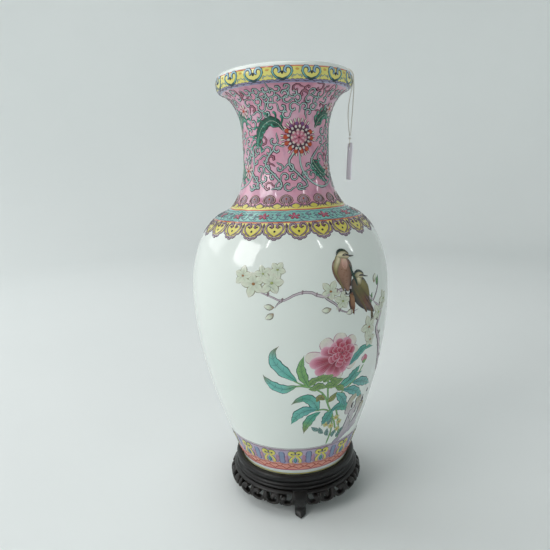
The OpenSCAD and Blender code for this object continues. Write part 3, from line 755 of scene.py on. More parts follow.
def acanthus(art, line, half, teeth):
    """A toothed dark green leaf with side lobes that curl, and a pale midrib."""
    art.stroke(line, half, [DARK_GREEN, EMERALD, EMERALD, LEAF_BLUE], edge=DARK_GREEN, form="leaf",
               bands=SHADED, n=34, lift=0.16, teeth=teeth)
    spine = smooth(line, 9, even=True)
    for k in range(1, 8):
        ahead = spine[k] - spine[k - 1]
        turn = math.degrees(math.atan2(ahead[1], ahead[0] * 0.72))
        for side in (-1, 1):
            lobe = [(0, 0), (1.4, side * half * 0.6), (3.8, side * half * 1.2), (6.4, side * half * 1.1)]
            art.stroke(art.local(*spine[k], lobe, turn), 1.5, [EMERALD, EMERALD, LEAF_BLUE], edge=DARK_GREEN,
                       form="drop", bands=HOOKED, n=9, lift=0.2)
    art.stroke(line, 0.4, PALE_GREEN, form="taper", bands=FINE, n=20, lift=0.32)


def neck_flowers():
    """Three large flowers round the neck, each with acanthus leaves, a stem and smaller flowers."""
    art = Painting("neck_flower_enamel")
    for turn in NECK_TURNS:
        for line, half, teeth in (
            ([(-4, 343), (-12, 350), (-22, 352), (-34, 346), (-40, 336), (-40, 328)], 4.4, 6),
            ([(36, 345), (44, 354), (55, 357), (64, 352)], 3.8, 4),
            ([(30, 322), (38, 314), (48, 308), (58, 309)], 3.8, 4),
        ):
            acanthus(art, turned(line, turn), half, teeth)
        for stem, half, n in (([(14, 326), (16, 314), (24, 304), (36, 298), (50, 297)], 1.0, 26),
                              ([(50, 297), (66, 304), (72, 320), (66, 334)], 0.9, 22)):
            art.stroke(turned(stem, turn), half, CURL, edge=DARK, bands=LINED, n=n, lift=0.18)
        lotus(art, 14 + turn, 338)
        for angle, height, size in ((-58, 362, 5.4), (-60, 312, 6.2)):
            petal_ring(art, angle + turn, height, 7, 0.8, size, 2.1, [ROSE, IVORY], MAROON, 15, lift=0.2)
            art.dot(angle + turn, height, 1.5, ORANGE_RED, n=7, lift=0.36)
    return art


def lappet_border():
    """Twenty small caps standing on a waved line, with yellow cusps under them."""
    art = Painting("lappet_enamel")
    cap = [(-1.8, -4.0), (-1.9, 0.4), (-4.6, 1.6), (-5.0, 4.6), (-2.6, 7.4), (0, 8.4), (2.6, 7.4),
           (5.0, 4.6), (4.6, 1.6), (1.9, 0.4), (1.8, -4.0)]
    brown = srgb(0.32, 0.17, 0.17)
    for k in range(20):
        angle = 18 * k - 4
        art.stroke(art.local(angle + 9, 281.6, [(0, -1.6), (0, 3.4)]), 5.2, YELLOW, edge=MAUVE * 0.7,
                   form="leaf", bands=LINED, n=11, lift=0.05)
        art.stroke(art.local(angle, 284.2, [(0, 0.6), (0, 7.8)]), 4.2, srgb(0.68, 0.58, 0.62), form="blob",
                   n=11, lift=0.1)
        art.stroke(art.local(angle, 284.2, cap), 1.0, srgb(0.78, 0.66, 0.64), edge=brown, bands=CURLED, n=22,
                   lift=0.16)
        for x in (-2.4, 0, 2.4):
            art.stroke(art.local(angle, 284.2, [(x * 0.6, 0.2), (x * 1.1, 5.4)]), 0.5, brown, form="taper",
                       bands=FINE, n=6, lift=0.2)
        art.stroke(art.local(angle, 284.2, [(0, 3.8), (0, 5.8)]), 0.9, ORANGE_RED * 0.8, form="blob", n=6,
                   lift=0.24)
    round_line(art, scalloped(20, 5, 284.8, 2.2), 0.75, MAUVE * 0.75, pieces=10)
    return art


def turquoise_scrolls():
    """Small scribbled scrolls and maroon flowers round the turquoise band."""
    art = Painting("turquoise_scroll_enamel")
    for k in range(15):
        angle = 24 * k + 2
        petal_ring(art, angle, 275, 5, 0.3, 5.0, 1.8, [ROSE, CRIMSON], MAROON * 0.6, 90)
        for flip in (-1, 1):
            for far, up, size, turn in ((5.6, 1.6, 0.8, 20), (9.4, -2.0, 0.8, 200), (6.0, -3.6, 0.6, 70),
                                        (11.6, 3.0, 0.6, 100)):
                where = art.local(angle, 275, [(flip * far, up)])[0]
                art.stroke(art.local(*where, CURL_SHAPE, turn, size, flip), 0.75, srgb(0.56, 0.62, 0.70),
                           edge=DEEP_TEAL * 0.6 if far < 10 else srgb(0.40, 0.18, 0.32), form="drop",
                           bands=INKED, n=9)
    for height in (271.9, 278.2):
        round_line(art, scalloped(60, 0, height, 0.5, 4), 0.3, srgb(0.30, 0.32, 0.52), pieces=12)
    return art


def heart_border():
    """Twenty-four hooked hearts on yellow, whose lower edge hangs in lobes with a mauve outline."""
    art = Painting("heart_border_enamel")
    hook = [(0, -7.4), (-4.2, -4.4), (-7.0, 0.4), (-6.0, 4.8), (-3.0, 5.2), (-1.6, 2.4), (-3.4, 0.6)]
    line = srgb(0.30, 0.20, 0.30)
    rounded = ([-1, -0.86, -0.78, 0, 0.78, 0.86, 1], [1, 1, 0, 0, 0, 1, 1])
    for k in range(24):
        angle = 15 * k + 3.5
        art.stroke(art.local(angle, 264.6, [(-8.6, 0), (8.6, 0)]), 7.0, YELLOW,
                   edge=srgb(0.72, 0.66, 0.76), form="blob", bands=rounded, n=16, lift=0.05, crown=0.05)
        lobe = [(-9.2, 3.0), (-8.4, -2.4), (-5.6, -3.6), (-4.6, -6.6), (-1.8, -6.8), (0, -8.8), (1.8, -6.8),
                (4.6, -6.6), (5.6, -3.6), (8.4, -2.4), (9.2, 3.0)]
        art.stroke(art.local(angle, 264.6, lobe), 1.05, srgb(0.70, 0.62, 0.67), edge=line, bands=CURLED,
                   n=30, lift=0.12)
        for flip in (-1, 1):
            art.stroke(art.local(angle, 265.9, hook, flip=flip), 1.6,
                       [MAUVE, srgb(0.70, 0.62, 0.66), srgb(0.56, 0.36, 0.44)], edge=line, form="drop",
                       bands=CURLED, n=16, lift=0.16)
            art.stroke(art.local(angle, 265.9, [(4.0, 2.6), (3.6, 1.4)], flip=flip), 1.0, BLACK, form="blob",
                       n=6, lift=0.3)
        art.stroke(art.local(angle, 265.9, [(0, -3.4), (0, -1.2)]), 1.1, BLACK, form="blob", n=6, lift=0.15)
        art.stroke(art.local(angle + 7.5, 267.6, [(0, -3.2), (0, 3.6)]), 1.3, line, form="leaf", n=7)
    return art


def foot_border():
    """Sixteen hanging cloud-heads with legs between steel-blue bars, over rows of coral waves."""
    art = Painting("foot_border_enamel")
    bow = [(0, 3.0), (-3.6, 2.6), (-5.4, 4.6), (-4.4, 6.8), (-2.0, 6.4), (-1.4, 4.6)]
    leg = [(-0.6, 1.8), (-3.2, -0.6), (-4.4, -4.4), (-3.2, -7.6)]
    ink = srgb(0.26, 0.36, 0.30)
    for k in range(16):
        angle = 22.5 * k - 3
        art.stroke(art.local(angle + 11.25, 58.2, [(0, -8), (0, 0), (0, 7.6)]), 2.9,
                   [LAVENDER, srgb(0.52, 0.60, 0.72), srgb(0.52, 0.60, 0.72)], edge=srgb(0.46, 0.46, 0.60),
                   bands=LINED, n=12)
        for flip in (-1, 1):
            art.stroke(art.local(angle, 58.2, [(-7.4, 3.6), (-8.0, -2), (-6.4, -7.8)], flip=flip), 1.9,
                       [srgb(0.76, 0.54, 0.62), srgb(0.66, 0.56, 0.66)], form="leaf", n=10)
            art.stroke(art.local(angle, 58.2, bow, flip=flip), 2.5, [YELLOW, YELLOW, srgb(0.84, 0.82, 0.40)],
                       edge=ink, form="drop", bands=OUTLINED, n=14, lift=0.16)
            art.stroke(art.local(angle, 58.2, leg, flip=flip), 2.2, [YELLOW, YELLOW, srgb(0.86, 0.70, 0.50)],
                       edge=ink, form="drop", bands=OUTLINED, n=12, lift=0.16)
            art.stroke(art.local(angle, 58.2, [(-3.2, 5.6), (-3.2, 4.0)], flip=flip), 0.8, DARK, form="blob",
                       n=6, lift=0.34)
        art.stroke(art.local(angle, 58.2, [(0, -0.4), (0, -7.4)]), 1.7, [LEAF_BLUE, srgb(0.34, 0.44, 0.62)],
                   edge=ink, form="leaf", bands=HOOKED, n=9, lift=0.2)
        art.stroke(art.local(angle, 58.2, [(0, 4.4), (0, 7.0)]), 1.0, DARK, form="blob", n=6, lift=0.3)
    waves = ((43.8, 3.0, 0.42, CORAL_RED), (46.4, 3.4, 0.5, srgb(0.76, 0.42, 0.36)), (49.0, 1.6, 0.9, CORAL))
    for row, (height, depth, half, tint) in enumerate(waves):
        round_line(art, scalloped(32, 5 * row, height, -depth), half, tint, pieces=16, lift=0.1)
    return art


def leaf(art, line, half, fill, edge=VEIN, veins=4, tip=None, lift=0.12):
    """A leaf along a line: a shaded blade, its midrib, and pairs of side veins that lean forwards."""
    colours = list(np.atleast_2d(fill))
    if len(colours) == 1:
        colours = [colours[0], colours[0] * 1.12, colours[0]]
    if tip is not None:
        colours += [tip]
    art.stroke(line, half, colours, edge=edge, form="slim", n=24, lift=lift, teeth=4 if half > 3 else 0,
               bands=([-1, -0.9, -0.78, 0, 0.78, 0.9, 1], [1, 1, 0, 0.25, 0, 1, 1]))
    art.stroke(line, 0.45, edge, form="taper", bands=FINE, n=16, lift=lift + 0.16)
    spine = smooth(line, veins + 3, even=True)
    for k in range(1, veins + 1):
        ahead = (spine[k + 1] - spine[k - 1]) * [1.5, 1.0]
        turn = math.degrees(math.atan2(ahead[1], ahead[0]))
        reach = half * 0.78 * math.sin(math.pi * k / (veins + 2)) ** 0.85
        for side in (-1, 1):
            art.stroke(art.local(*spine[k], [(0, 0), (reach * 0.7, side * reach)], turn), 0.36, edge,
                       form="taper", bands=FINE, n=5, lift=lift + 0.12)


def blossom(art, angle, height, size, start=0.0, fill=PALE_GREEN, heart=LEAF_GREEN):
    """A pale flower of five broad pointed petals with a small heart."""
    outline = srgb(0.62, 0.61, 0.50)
    for k in range(5):
        turn = start + 72 * k
        far = size * (0.86 + 0.26 * math.sin(2.3 * k + angle) ** 2)
        art.stroke(art.local(angle, height, [(0.2, 0), (far * 0.5, far * 0.06), (far, far * 0.12)], turn),
                   size * 0.35, [fill * 0.85, fill, IVORY], edge=outline, form="leaf", n=12,
                   lift=0.1 + 0.02 * k, bands=([-1, -0.88, -0.74, 0, 0.74, 0.88, 1], [1, 1, 0, 0.2, 0, 1, 1]))
        art.stroke(art.local(angle, height, [(size * 0.1, 0), (size * 0.6, 0)], turn), 0.2, outline,
                   form="taper", bands=FINE, n=5, lift=0.3)
    art.dot(angle, height, size * 0.14, heart, n=6, lift=0.36)


def spray_part(name, turn):
    """A painting of the flowering spray, on the front or, turned round, on the back."""
    return Painting(name if turn == 0 else name + "_back")


def branch(turn):
    """A knotted magnolia branch that climbs from the lower right and bends over to the left."""
    art = spray_part("branch_enamel", turn)
    trunk = [(66, 128), (60, 150), (56, 163), (51, 176), (55, 190), (46, 202)]
    twig = [(46, 202), (36, 214), (29, 218), (21, 216.5), (12.8, 213.7), (6.7, 218), (0, 217), (-7, 212),
            (-12, 215), (-18, 218.7), (-24, 222.6)]
    spur = [(46, 202), (49, 208), (51, 214), (52, 221)]
    side = [(14, 213), (20, 206), (22, 201.4), (28, 197.6), (34, 199)]
    hang = [(-7, 212), (-9, 210), (-11, 206)]
    for line, half in ((trunk, 4.4), (twig, 2.2), (spur, 1.2), (side, 1.3), (hang, 1.0)):
        art.stroke(turned(line, turn), half, [srgb(0.80, 0.76, 0.78), srgb(0.80, 0.74, 0.78)],
                   edge=srgb(0.30, 0.23, 0.28), form="taper", bands=LINED if half > 2 else INKED, n=40,
                   lift=0.14)
    spine = smooth(turned(trunk, turn), 18, even=True)
    for k, (a, h) in enumerate(spine[:-2]):
        side_of = 1 if k % 2 else -1
        art.stroke([(a + side_of * 0.5, h), (a + side_of * 1.1 - 0.8, h + 4.2)], 0.4, BARK_DARK, form="leaf",
                   bands=FINE, n=6, lift=0.28)
        if k % 3 == 0:
            art.stroke(art.local(a, h, [(0, 0), (side_of * 3.6, 1.6), (side_of * 4.8, 3.0)]), 0.9, BARK,
                       edge=BARK_DARK, form="drop", bands=HOOKED, n=8, lift=0.16)
    for a, h in ((21, 217), (10, 215.5), (3, 218), (-7, 212.5), (-14, 217), (22, 201), (29, 198)):
        art.stroke(art.local(a + turn, h, [(-0.5, -1.6), (0.5, 1.9)]), 1.0, BARK, edge=BARK_DARK, form="blob",
                   bands=HOOKED, n=7, lift=0.2)
    return art


def blossoms(turn):
    """Pale blossoms, buds and a few small leaves along the branch."""
    art = spray_part("blossom_enamel", turn)
    brown_heart = srgb(0.62, 0.44, 0.26)
    open_flowers = ((-12, 226, 10.4), (-21.5, 225, 11.0), (-9.0, 236, 7.6), (-27.5, 231, 8.6),
                    (-16.5, 233, 7.2), (17.4, 217, 8.6), (24, 208, 8.0), (43, 180, 10.4), (52, 190, 9.0),
                    (45, 168, 8.0), (58, 200, 8.6))
    for k, (a, h, size) in enumerate(open_flowers):
        blossom(art, a + turn, h, size, 25 * k, heart=brown_heart if k % 2 else srgb(0.62, 0.68, 0.42))
    for a, h, lean in ((-11, 207, 175), (17.5, 203, 184), (-11.5, 202, 215), (47, 217, 60), (31, 200, 200)):
        shape = [(0, 0), (3.8, 0.5), (8.6, 0)]
        art.stroke(art.local(a + turn, h, shape, lean), 2.6, [srgb(0.55, 0.38, 0.20), PALE_GREEN, IVORY],
                   edge=srgb(0.30, 0.22, 0.14), form="leaf", bands=HOOKED, n=10, lift=0.2)
    for a, h, lean in ((50, 214, 70), (-14, 224, 320), (44, 201, 80)):
        leaf(art, art.local(a + turn, h, [(0, 0), (4, 0.8), (9, 0)], lean), 1.9, LEAF_GREEN * 0.9, veins=2)
    return art


def feathers(art, start, end, count, half, length, lean, fill, edge, lift):
    """Overlapping feathers along a line from start to end, each leaning the same way."""
    for k in range(count):
        t = k / max(count - 1, 1)
        a, h = np.array(start) * (1 - t) + np.array(end) * t
        art.stroke(art.local(a, h, [(0, 0), (length * 0.5, 0.3), (length, 0)], lean), half, fill, edge=edge,
                   form="feather", bands=HOOKED, n=9, lift=lift + 0.015 * k)


def birds():
    """Two small birds on the branch, side by side, with dark caps, cream cheeks and brown breasts."""
    art = Painting("bird_enamel")
    throat = srgb(0.84, 0.66, 0.60)
    # The further bird, lower and leaning to the right, with a long tail
    art.stroke([(33.0, 226), (35.0, 215), (38.6, 205), (45.0, 193.5)], 9.8,
               [PINK_BROWN, OLIVE, BROWN, BROWN * 0.6], edge=DARK * 0.6, form="bird", bands=SHADED, n=26,
               lift=0.12, crown=0.3)
    art.stroke([(35.6, 222), (39.4, 215), (42.2, 206)], 4.2,
               [srgb(0.62, 0.58, 0.36), srgb(0.50, 0.45, 0.25), OLIVE], edge=OLIVE, form="bird",
               bands=SHADED, n=14, lift=0.34)
    art.stroke([(29.4, 214), (29.6, 204), (31.0, 195)], 3.4, [BROWN * 1.3, BROWN, BROWN], edge=BLACK,
               form="bird", bands=SHADED, n=14, lift=0.2)
    art.stroke([(33.6, 227.4), (34.8, 223), (35.6, 218)], 4.0, [CREAM, CREAM, OLIVE * 1.5], edge=OLIVE,
               form="leaf", bands=SHADED, n=14, lift=0.36, crown=0.24)
    art.stroke([(31.8, 226.6), (35.2, 226.8), (38.4, 225.0)], 3.3, [OLIVE, CREAM, CREAM], edge=OLIVE,
               form="blob", bands=SHADED, n=14, lift=0.42, crown=0.26)
    art.stroke([(31.4, 226.6), (33.8, 229.6), (36.8, 229.2), (39.0, 226.2)], 1.3, DARK_GREEN, edge=BLACK,
               form="leaf", bands=HOOKED, n=12, lift=0.6)
    art.stroke([(34.4, 226.0), (36.8, 226.2), (39.4, 225.0)], 1.25, BLACK, form="leaf", n=9, lift=0.62)
    art.stroke([(38.6, 225.2), (40.2, 224.6), (42.2, 224.0)], 0.8, BLACK, form="taper", n=8, lift=0.5)
    feathers(art, (31.0, 217), (37.0, 203), 9, 2.1, 10.5, 300, [OLIVE, BROWN * 0.8], DARK * 0.5, 0.4)
    feathers(art, (38.0, 209), (43.0, 200), 7, 1.8, 10, 306, [BROWN * 0.8, BLACK], BLACK, 0.5)
    for lean in (276, 282, 288):
        art.stroke(art.local(43.6, 200, [(0, 0), (8, 0.3), (15, 0)], lean), 0.95, [BROWN, OLIVE], edge=BLACK,
                   form="feather", bands=HOOKED, n=9, lift=0.3)
    # The nearer bird, upright, looking right
    art.stroke([(25.4, 243), (25.4, 233), (26.2, 224), (27.4, 215.0)], 9.6,
               [throat, PINK_BROWN * 1.2, PINK_BROWN, PINK_BROWN], edge=srgb(0.36, 0.24, 0.18), form="bird",
               bands=SHADED, n=26, lift=0.2, crown=0.34)
    art.stroke([(24.4, 245), (23.2, 240), (21.4, 235), (21.0, 228)], 3.0,
               [CREAM, CREAM, srgb(0.72, 0.66, 0.46), OLIVE], edge=OLIVE, form="bird", bands=SHADED, n=16,
               lift=0.42, crown=0.24)
    art.stroke([(27.2, 243), (27.0, 238), (26.6, 232)], 3.3, [CREAM, throat, PINK_BROWN * 1.2], edge=throat,
               form="leaf", bands=SHADED, n=14, lift=0.5, crown=0.2)
    art.stroke([(23.0, 243.6), (26.4, 244.2), (30.6, 242.0)], 3.9, [CREAM, CREAM, srgb(0.86, 0.78, 0.66)],
               edge=OLIVE, form="blob", bands=SHADED, n=16, lift=0.52, crown=0.3)
    art.stroke([(22.6, 243.6), (24.6, 247.2), (28.2, 247.2), (31.0, 244.0)], 1.5,
               [DARK_GREEN, DARK_GREEN, OLIVE], edge=BLACK, form="leaf", bands=HOOKED, n=14, lift=0.76)
    art.stroke([(25.6, 243.2), (28.4, 243.8), (31.2, 242.4)], 1.35, BLACK, form="leaf", n=9, lift=0.8)
    art.stroke(art.local(28.0, 243.8, [(-0.5, 0), (0.5, 0)]), 0.45, CREAM, form="blob", n=6, lift=0.95)
    art.stroke([(30.4, 242.8), (32.2, 242.3), (34.2, 242.4)], 0.95, BLACK, form="taper", n=8, lift=0.6)
    feathers(art, (20.4, 233), (23.2, 222), 7, 1.5, 7.0, 292, [srgb(0.56, 0.48, 0.30), OLIVE], BLACK, 0.46)
    feathers(art, (29.6, 237), (32.4, 226), 7, 1.8, 8.5, 280, [DARK_GREEN, srgb(0.12, 0.26, 0.20)], BLACK,
             0.46)
    feathers(art, (28.4, 214), (30.4, 212), 4, 1.4, 13.0, 276, [srgb(0.66, 0.50, 0.34), BROWN * 1.3], BROWN,
             0.26)
    for x in (25.8, 28.4):
        for toe in (-1.2, 0.2, 1.4):
            art.stroke([(x, 217.5), (x + 0.2, 214.6), (x + toe, 212.4)], 0.5, BLACK, bands=FINE, n=7,
                       lift=0.4)
    for k in range(12):
        a, h = 26.0 + 1.4 * math.sin(2.4 * k), 236 - 1.5 * k
        art.stroke(art.local(a, h, [(-0.7, 0.7), (0, -0.6), (0.7, 0.7)]), 0.2, BROWN, bands=FINE, n=6,
                   lift=0.66)
    return art


def peony(art, angle, height, size):
    """A full peony: pale ghosted outer petals, crimson ones that fade to white, and a frilled heart."""
    outline = srgb(0.72, 0.52, 0.60)
    ghosted = ([-1, -0.93, -0.84, 0, 0.84, 0.93, 1], [1, 1, 0, 0, 0, 1, 1])
    for turn, far, half in ((172, 29, 7.0), (128, 23, 7.4), (84, 22, 7.6), (44, 23, 7.2), (8, 21, 7.0),
                            (-32, 21, 6.8), (-88, 20, 6.4), (-135, 22, 7.0)):
        shape = [(2, 0), (far * 0.5, 0.8), (far, 0)]
        art.stroke(art.local(angle, height, shape, turn, size), half * size,
                   [ROSE, srgb(0.93, 0.84, 0.87), IVORY], edge=outline, form="petal", bands=ghosted, n=18,
                   lift=0.06, crown=0.08)
    deep = [MAROON, CRIMSON, CRIMSON, srgb(0.80, 0.40, 0.52), srgb(0.91, 0.68, 0.76)]
    for turn, far, half in ((188, 25, 6.8), (214, 23, 5.8), (240, 17, 5.2), (268, 18, 6.2), (296, 16, 5.2),
                            (325, 15, 5.0), (150, 18, 6.0), (108, 15, 5.6), (62, 19, 6.2), (30, 17, 5.6),
                            (0, 15, 5.2)):
        shape = [(1, 0), (far * 0.5, -0.6), (far, 0)]
        art.stroke(art.local(angle, height, shape, turn, size), half * size, deep,
                   edge=srgb(0.90, 0.72, 0.79), form="petal", n=18, lift=0.16, bands=FRINGED)
        for lean in (-9, -3, 3, 9):
            art.stroke(art.local(angle, height, [(4, 0), (far * 0.85, 0)], turn + lean, size), 0.26,
                       MAROON * 0.8, form="taper", bands=FINE, n=7, lift=0.34)
    frilled = ([-1, -0.86, -0.62, 0, 0.62, 0.86, 1], [1, 0.8, 0, 0, 0, 0.8, 1])
    rings = ((7, 3.0, 13.4, 4.8, 0.36), (6, 1.6, 9.8, 4.2, 0.46), (5, 0.4, 6.4, 3.2, 0.56),
             (3, 0.0, 3.8, 2.2, 0.66))
    for ring, (count, near, far, half, lift) in enumerate(rings):
        for k in range(count):
            turn = 360 * k / count + 23 * ring
            art.stroke(art.local(angle + 2, height + 4, [(near, 0), ((near + far) / 2, 0.7), (far, 0)], turn,
                                 size), half * size, [MAROON, CRIMSON, CRIMSON, srgb(0.86, 0.58, 0.67)],
                       edge=srgb(0.90, 0.74, 0.80), form="petal", bands=frilled, n=13, lift=lift, teeth=3)


def peonies(turn):
    """The open peony, and a closed bud in its green cup beside it."""
    art = spray_part("peony_enamel", turn)
    peony(art, 22 + turn, 160, 1.0)
    for shape, half, fill in (([(0, -1), (0.4, 3), (0, 7)], 3.0, [CRIMSON, ROSE]),
                              ([(-2, 0), (-2.6, 3), (-1, 6)], 1.6, [ROSE, BLUSH]),
                              ([(2, 0), (2.6, 3), (1, 6)], 1.6, [CRIMSON, ROSE])):
        art.stroke(art.local(42 + turn, 149, shape), half, fill, edge=MAROON, form="leaf", bands=HOOKED,
                   n=10, lift=0.2)
    for lean in (60, 90, 120):
        art.stroke(art.local(42 + turn, 147, [(0, 0), (2.6, 0.4), (5, 0)], lean), 1.2, LEAF_GREEN, edge=VEIN,
                   form="leaf", bands=HOOKED, n=8, lift=0.3)
    return art


def foliage(turn):
    """Leaves and stems under the peony."""
    art = spray_part("foliage_enamel", turn)
    for line in (((-4, 144), (2, 138.6), (9, 134), (15.4, 126), (18.5, 115), (24, 99), (29, 80)),
                 ((17, 141), (17.4, 130), (18.5, 115)), ((-4, 136.6), (1, 137.4), (7, 135)),
                 ((32, 72), (30, 88), (24, 112)), ((42, 146), (36, 134), (26, 124)),
                 ((10, 111), (16, 111), (21, 107)), ((22, 70), (24, 86), (22.6, 102))):
        art.stroke(turned(line, turn), 0.85, LEAF_GREEN, edge=VEIN, bands=HOOKED, n=22)
    curled = srgb(0.60, 0.52, 0.34)
    pale_blue, deep_blue = srgb(0.48, 0.80, 0.76), srgb(0.34, 0.66, 0.66)
    for points, half, fill, tip in (
        (((-0.7, 142), (-7.6, 151), (-12.8, 161), (-12.6, 169), (-9.6, 174.5)), 5.4,
         [LEAF_BLUE, pale_blue, pale_blue], curled),
        (((-0.7, 138), (-8, 134.8), (-14, 138), (-18, 144), (-19.4, 148)), 4.6,
         [LEAF_GREEN, pale_blue, pale_blue], curled),
        (((5.7, 136), (2.4, 147), (1.4, 156), (3.2, 166)), 4.2, LEAF_GREEN, None),
        (((12.6, 110), (9, 120), (4.2, 125), (-0.9, 123), (-4.6, 119)), 5.0,
         [LEAF_BLUE, pale_blue, LEAF_BLUE], curled),
        (((12, 112), (6, 112.5), (0, 109), (-5.2, 98)), 5.2, [deep_blue, pale_blue, LEAF_BLUE], None),
        (((14, 109), (9, 105), (5.2, 97), (3.2, 87)), 4.4, [LEAF_BLUE, LEAF_BLUE, LEAF_GREEN], curled),
        (((22, 110), (19.4, 102.6), (15.6, 93)), 4.8, [LEAF_BLUE, deep_blue], None),
        (((20.6, 107), (25.8, 110.6), (32, 108), (38, 100)), 4.4, [deep_blue, LEAF_BLUE, pale_blue], None),
        (((22.6, 126), (28, 119), (33, 107)), 4.4, [pale_blue, deep_blue], None),
        (((27, 128), (36.7, 123), (49, 110)), 4.6, [deep_blue, pale_blue], None),
        (((34, 132), (44, 128.6), (56, 120)), 4.8, [deep_blue, pale_blue], None),
        (((23, 130), (31, 135), (42, 140)), 4.6, [LEAF_BLUE, pale_blue], None),
        (((30, 134), (35, 141), (39, 147)), 4.2, [deep_blue, LEAF_BLUE], None),
        (((29.6, 150), (35.3, 158), (41, 162.4), (49.5, 160)), 4.0, [deep_blue, LEAF_BLUE], None),
        (((16, 121), (12.6, 124.5), (10.4, 119)), 3.0, srgb(0.58, 0.58, 0.32), None),
        (((17.6, 118), (21, 121.5), (24, 127)), 3.0, srgb(0.60, 0.62, 0.34), None),
    ):
        leaf(art, turned(points, turn), half, fill, tip=tip)
    cup = ((6, 137, 40, 12), (9.5, 141, 14, 13), (8, 136, -14, 13), (14, 139, 30, 12), (15, 135, -12, 13),
           (20, 134, 24, 12), (12, 137, 200, 10), (22, 132, -30, 11), (18, 141, -40, 10))
    for k, (a, h, lean, long) in enumerate(cup):
        leaf(art, art.local(a + turn, h, [(0, 0), (long * 0.45, 1.2), (long, 0)], lean), 3.4,
             [srgb(0.50, 0.66, 0.34), srgb(0.60, 0.74, 0.46)], veins=3, lift=0.14 + 0.03 * k)
    for a, h, lean in ((15, 89, 150), (18, 84, 120), (22, 80, 100), (26, 77, 70), (30, 75, 50), (20, 92, 60),
                       (31, 80, 20)):
        leaf(art, art.local(a + turn, h, [(0, 0), (4, 1.2), (10, 0)], lean), 2.2, srgb(0.48, 0.62, 0.60),
             veins=2)
    for a, h in ((26, 99), (23, 91), (29.5, 93), (19, 94), (29, 85)):
        blossom(art, a + turn, h, 3.6, 20 * a, fill=srgb(0.86, 0.86, 0.52), heart=ORANGE_RED)
    return art


def garden_rock(turn):
    """A holed garden rock in rounded upright lobes, grey-mauve above and olive below."""
    art = spray_part("rock_enamel", turn)
    pale = srgb(0.83, 0.81, 0.83)
    for points, half, fill in (
        (((34, 71), (38, 82), (40, 93), (41, 102)), 4.6, [ROCK, pale, pale]),
        (((41, 76), (47, 84), (51, 94), (52, 104)), 4.8, [ROCK, pale, ROCK_OLIVE]),
        (((36, 98), (35.6, 106), (37, 113), (41, 117)), 3.6, [pale, srgb(0.74, 0.74, 0.62)]),
        (((44, 98), (46, 106), (44, 113)), 4.6, [pale, srgb(0.74, 0.74, 0.62)]),
        (((28, 68), (36, 74), (44, 79), (52, 82)), 2.8, [srgb(0.68, 0.64, 0.72), ROCK, pale]),
    ):
        art.stroke(turned(points, turn), half, fill, edge=srgb(0.44, 0.41, 0.46), n=24, lift=0.12,
                   crown=0.24, bands=([-1, -0.88, -0.76, 0, 0.76, 0.88, 1], [1, 1, 0, 0.15, 0, 1, 1]))
    for a, h, wide, tall in ((40, 106, 2.2, 3.6), (45, 100, 2.0, 3.0), (39, 94, 1.5, 2.4),
                             (48, 90, 1.6, 2.6), (42, 86, 1.4, 2.2)):
        art.stroke(art.local(a + turn, h, [(0, -tall), (0, tall)]), wide, GLAZE * 0.9, edge=BARK_DARK,
                   form="blob", bands=INKED, n=12, lift=0.4)
    for _ in range(10):
        a, h = 37 + rng.uniform(0, 18), 80 + rng.uniform(0, 32)
        art.stroke(art.local(a + turn, h, [(0, 0), (0.8, 2.2), (0.2, 4.4)]), 0.22, srgb(0.46, 0.44, 0.46),
                   form="leaf", bands=FINE, n=6, lift=0.38)
    return art


# ---------------------------------------------------------------- stand

RIM_R, RIM_Z, STAND_H, SEAT_Z, RECESS_R = 59.47, 24.0, 37.0, 34.3, 54.27
# The ledge for the seat board, and the round opening under it
BOARD_HOLE_R, LEDGE_Z, OPENING_R = 50.1, 30.3, 44.0
APRON_Z, APRON_H = 11.0, 13.0


def stand_rim(material):
    """The turned rim: a bead, a cove and a rolled lip outside, and the recess for the foot inside."""
    a = np.linspace(-90, 90, 15) * DEGREES
    bead = np.stack([RIM_R - 0.9 + 1.5 * np.cos(a), RIM_Z + 1.5 + 1.5 * np.sin(a)], axis=1)
    b = np.linspace(-76, 90, 26) * DEGREES
    lip = np.stack([RIM_R - 2.4 + 2.4 * np.cos(b), STAND_H - 3.2 + 3.2 * np.sin(b)], axis=1)
    cove = smooth([(57.9, 27.5), (57.1, 28.3), (57.0, 29.0), (57.15, 29.7), (57.5, 30.3)], 9)
    inner = [(RECESS_R + 0.6, STAND_H), (RECESS_R + 0.15, STAND_H - 0.15), (RECESS_R, STAND_H - 0.6),
             (RECESS_R, SEAT_Z), (BOARD_HOLE_R, SEAT_Z), (BOARD_HOLE_R, LEDGE_Z), (OPENING_R, LEDGE_Z),
             (OPENING_R, RIM_Z)]
    outline = np.concatenate([bead, cove, lip, inner])
    return revolve("turned_rim", outline * MM, 192, material)


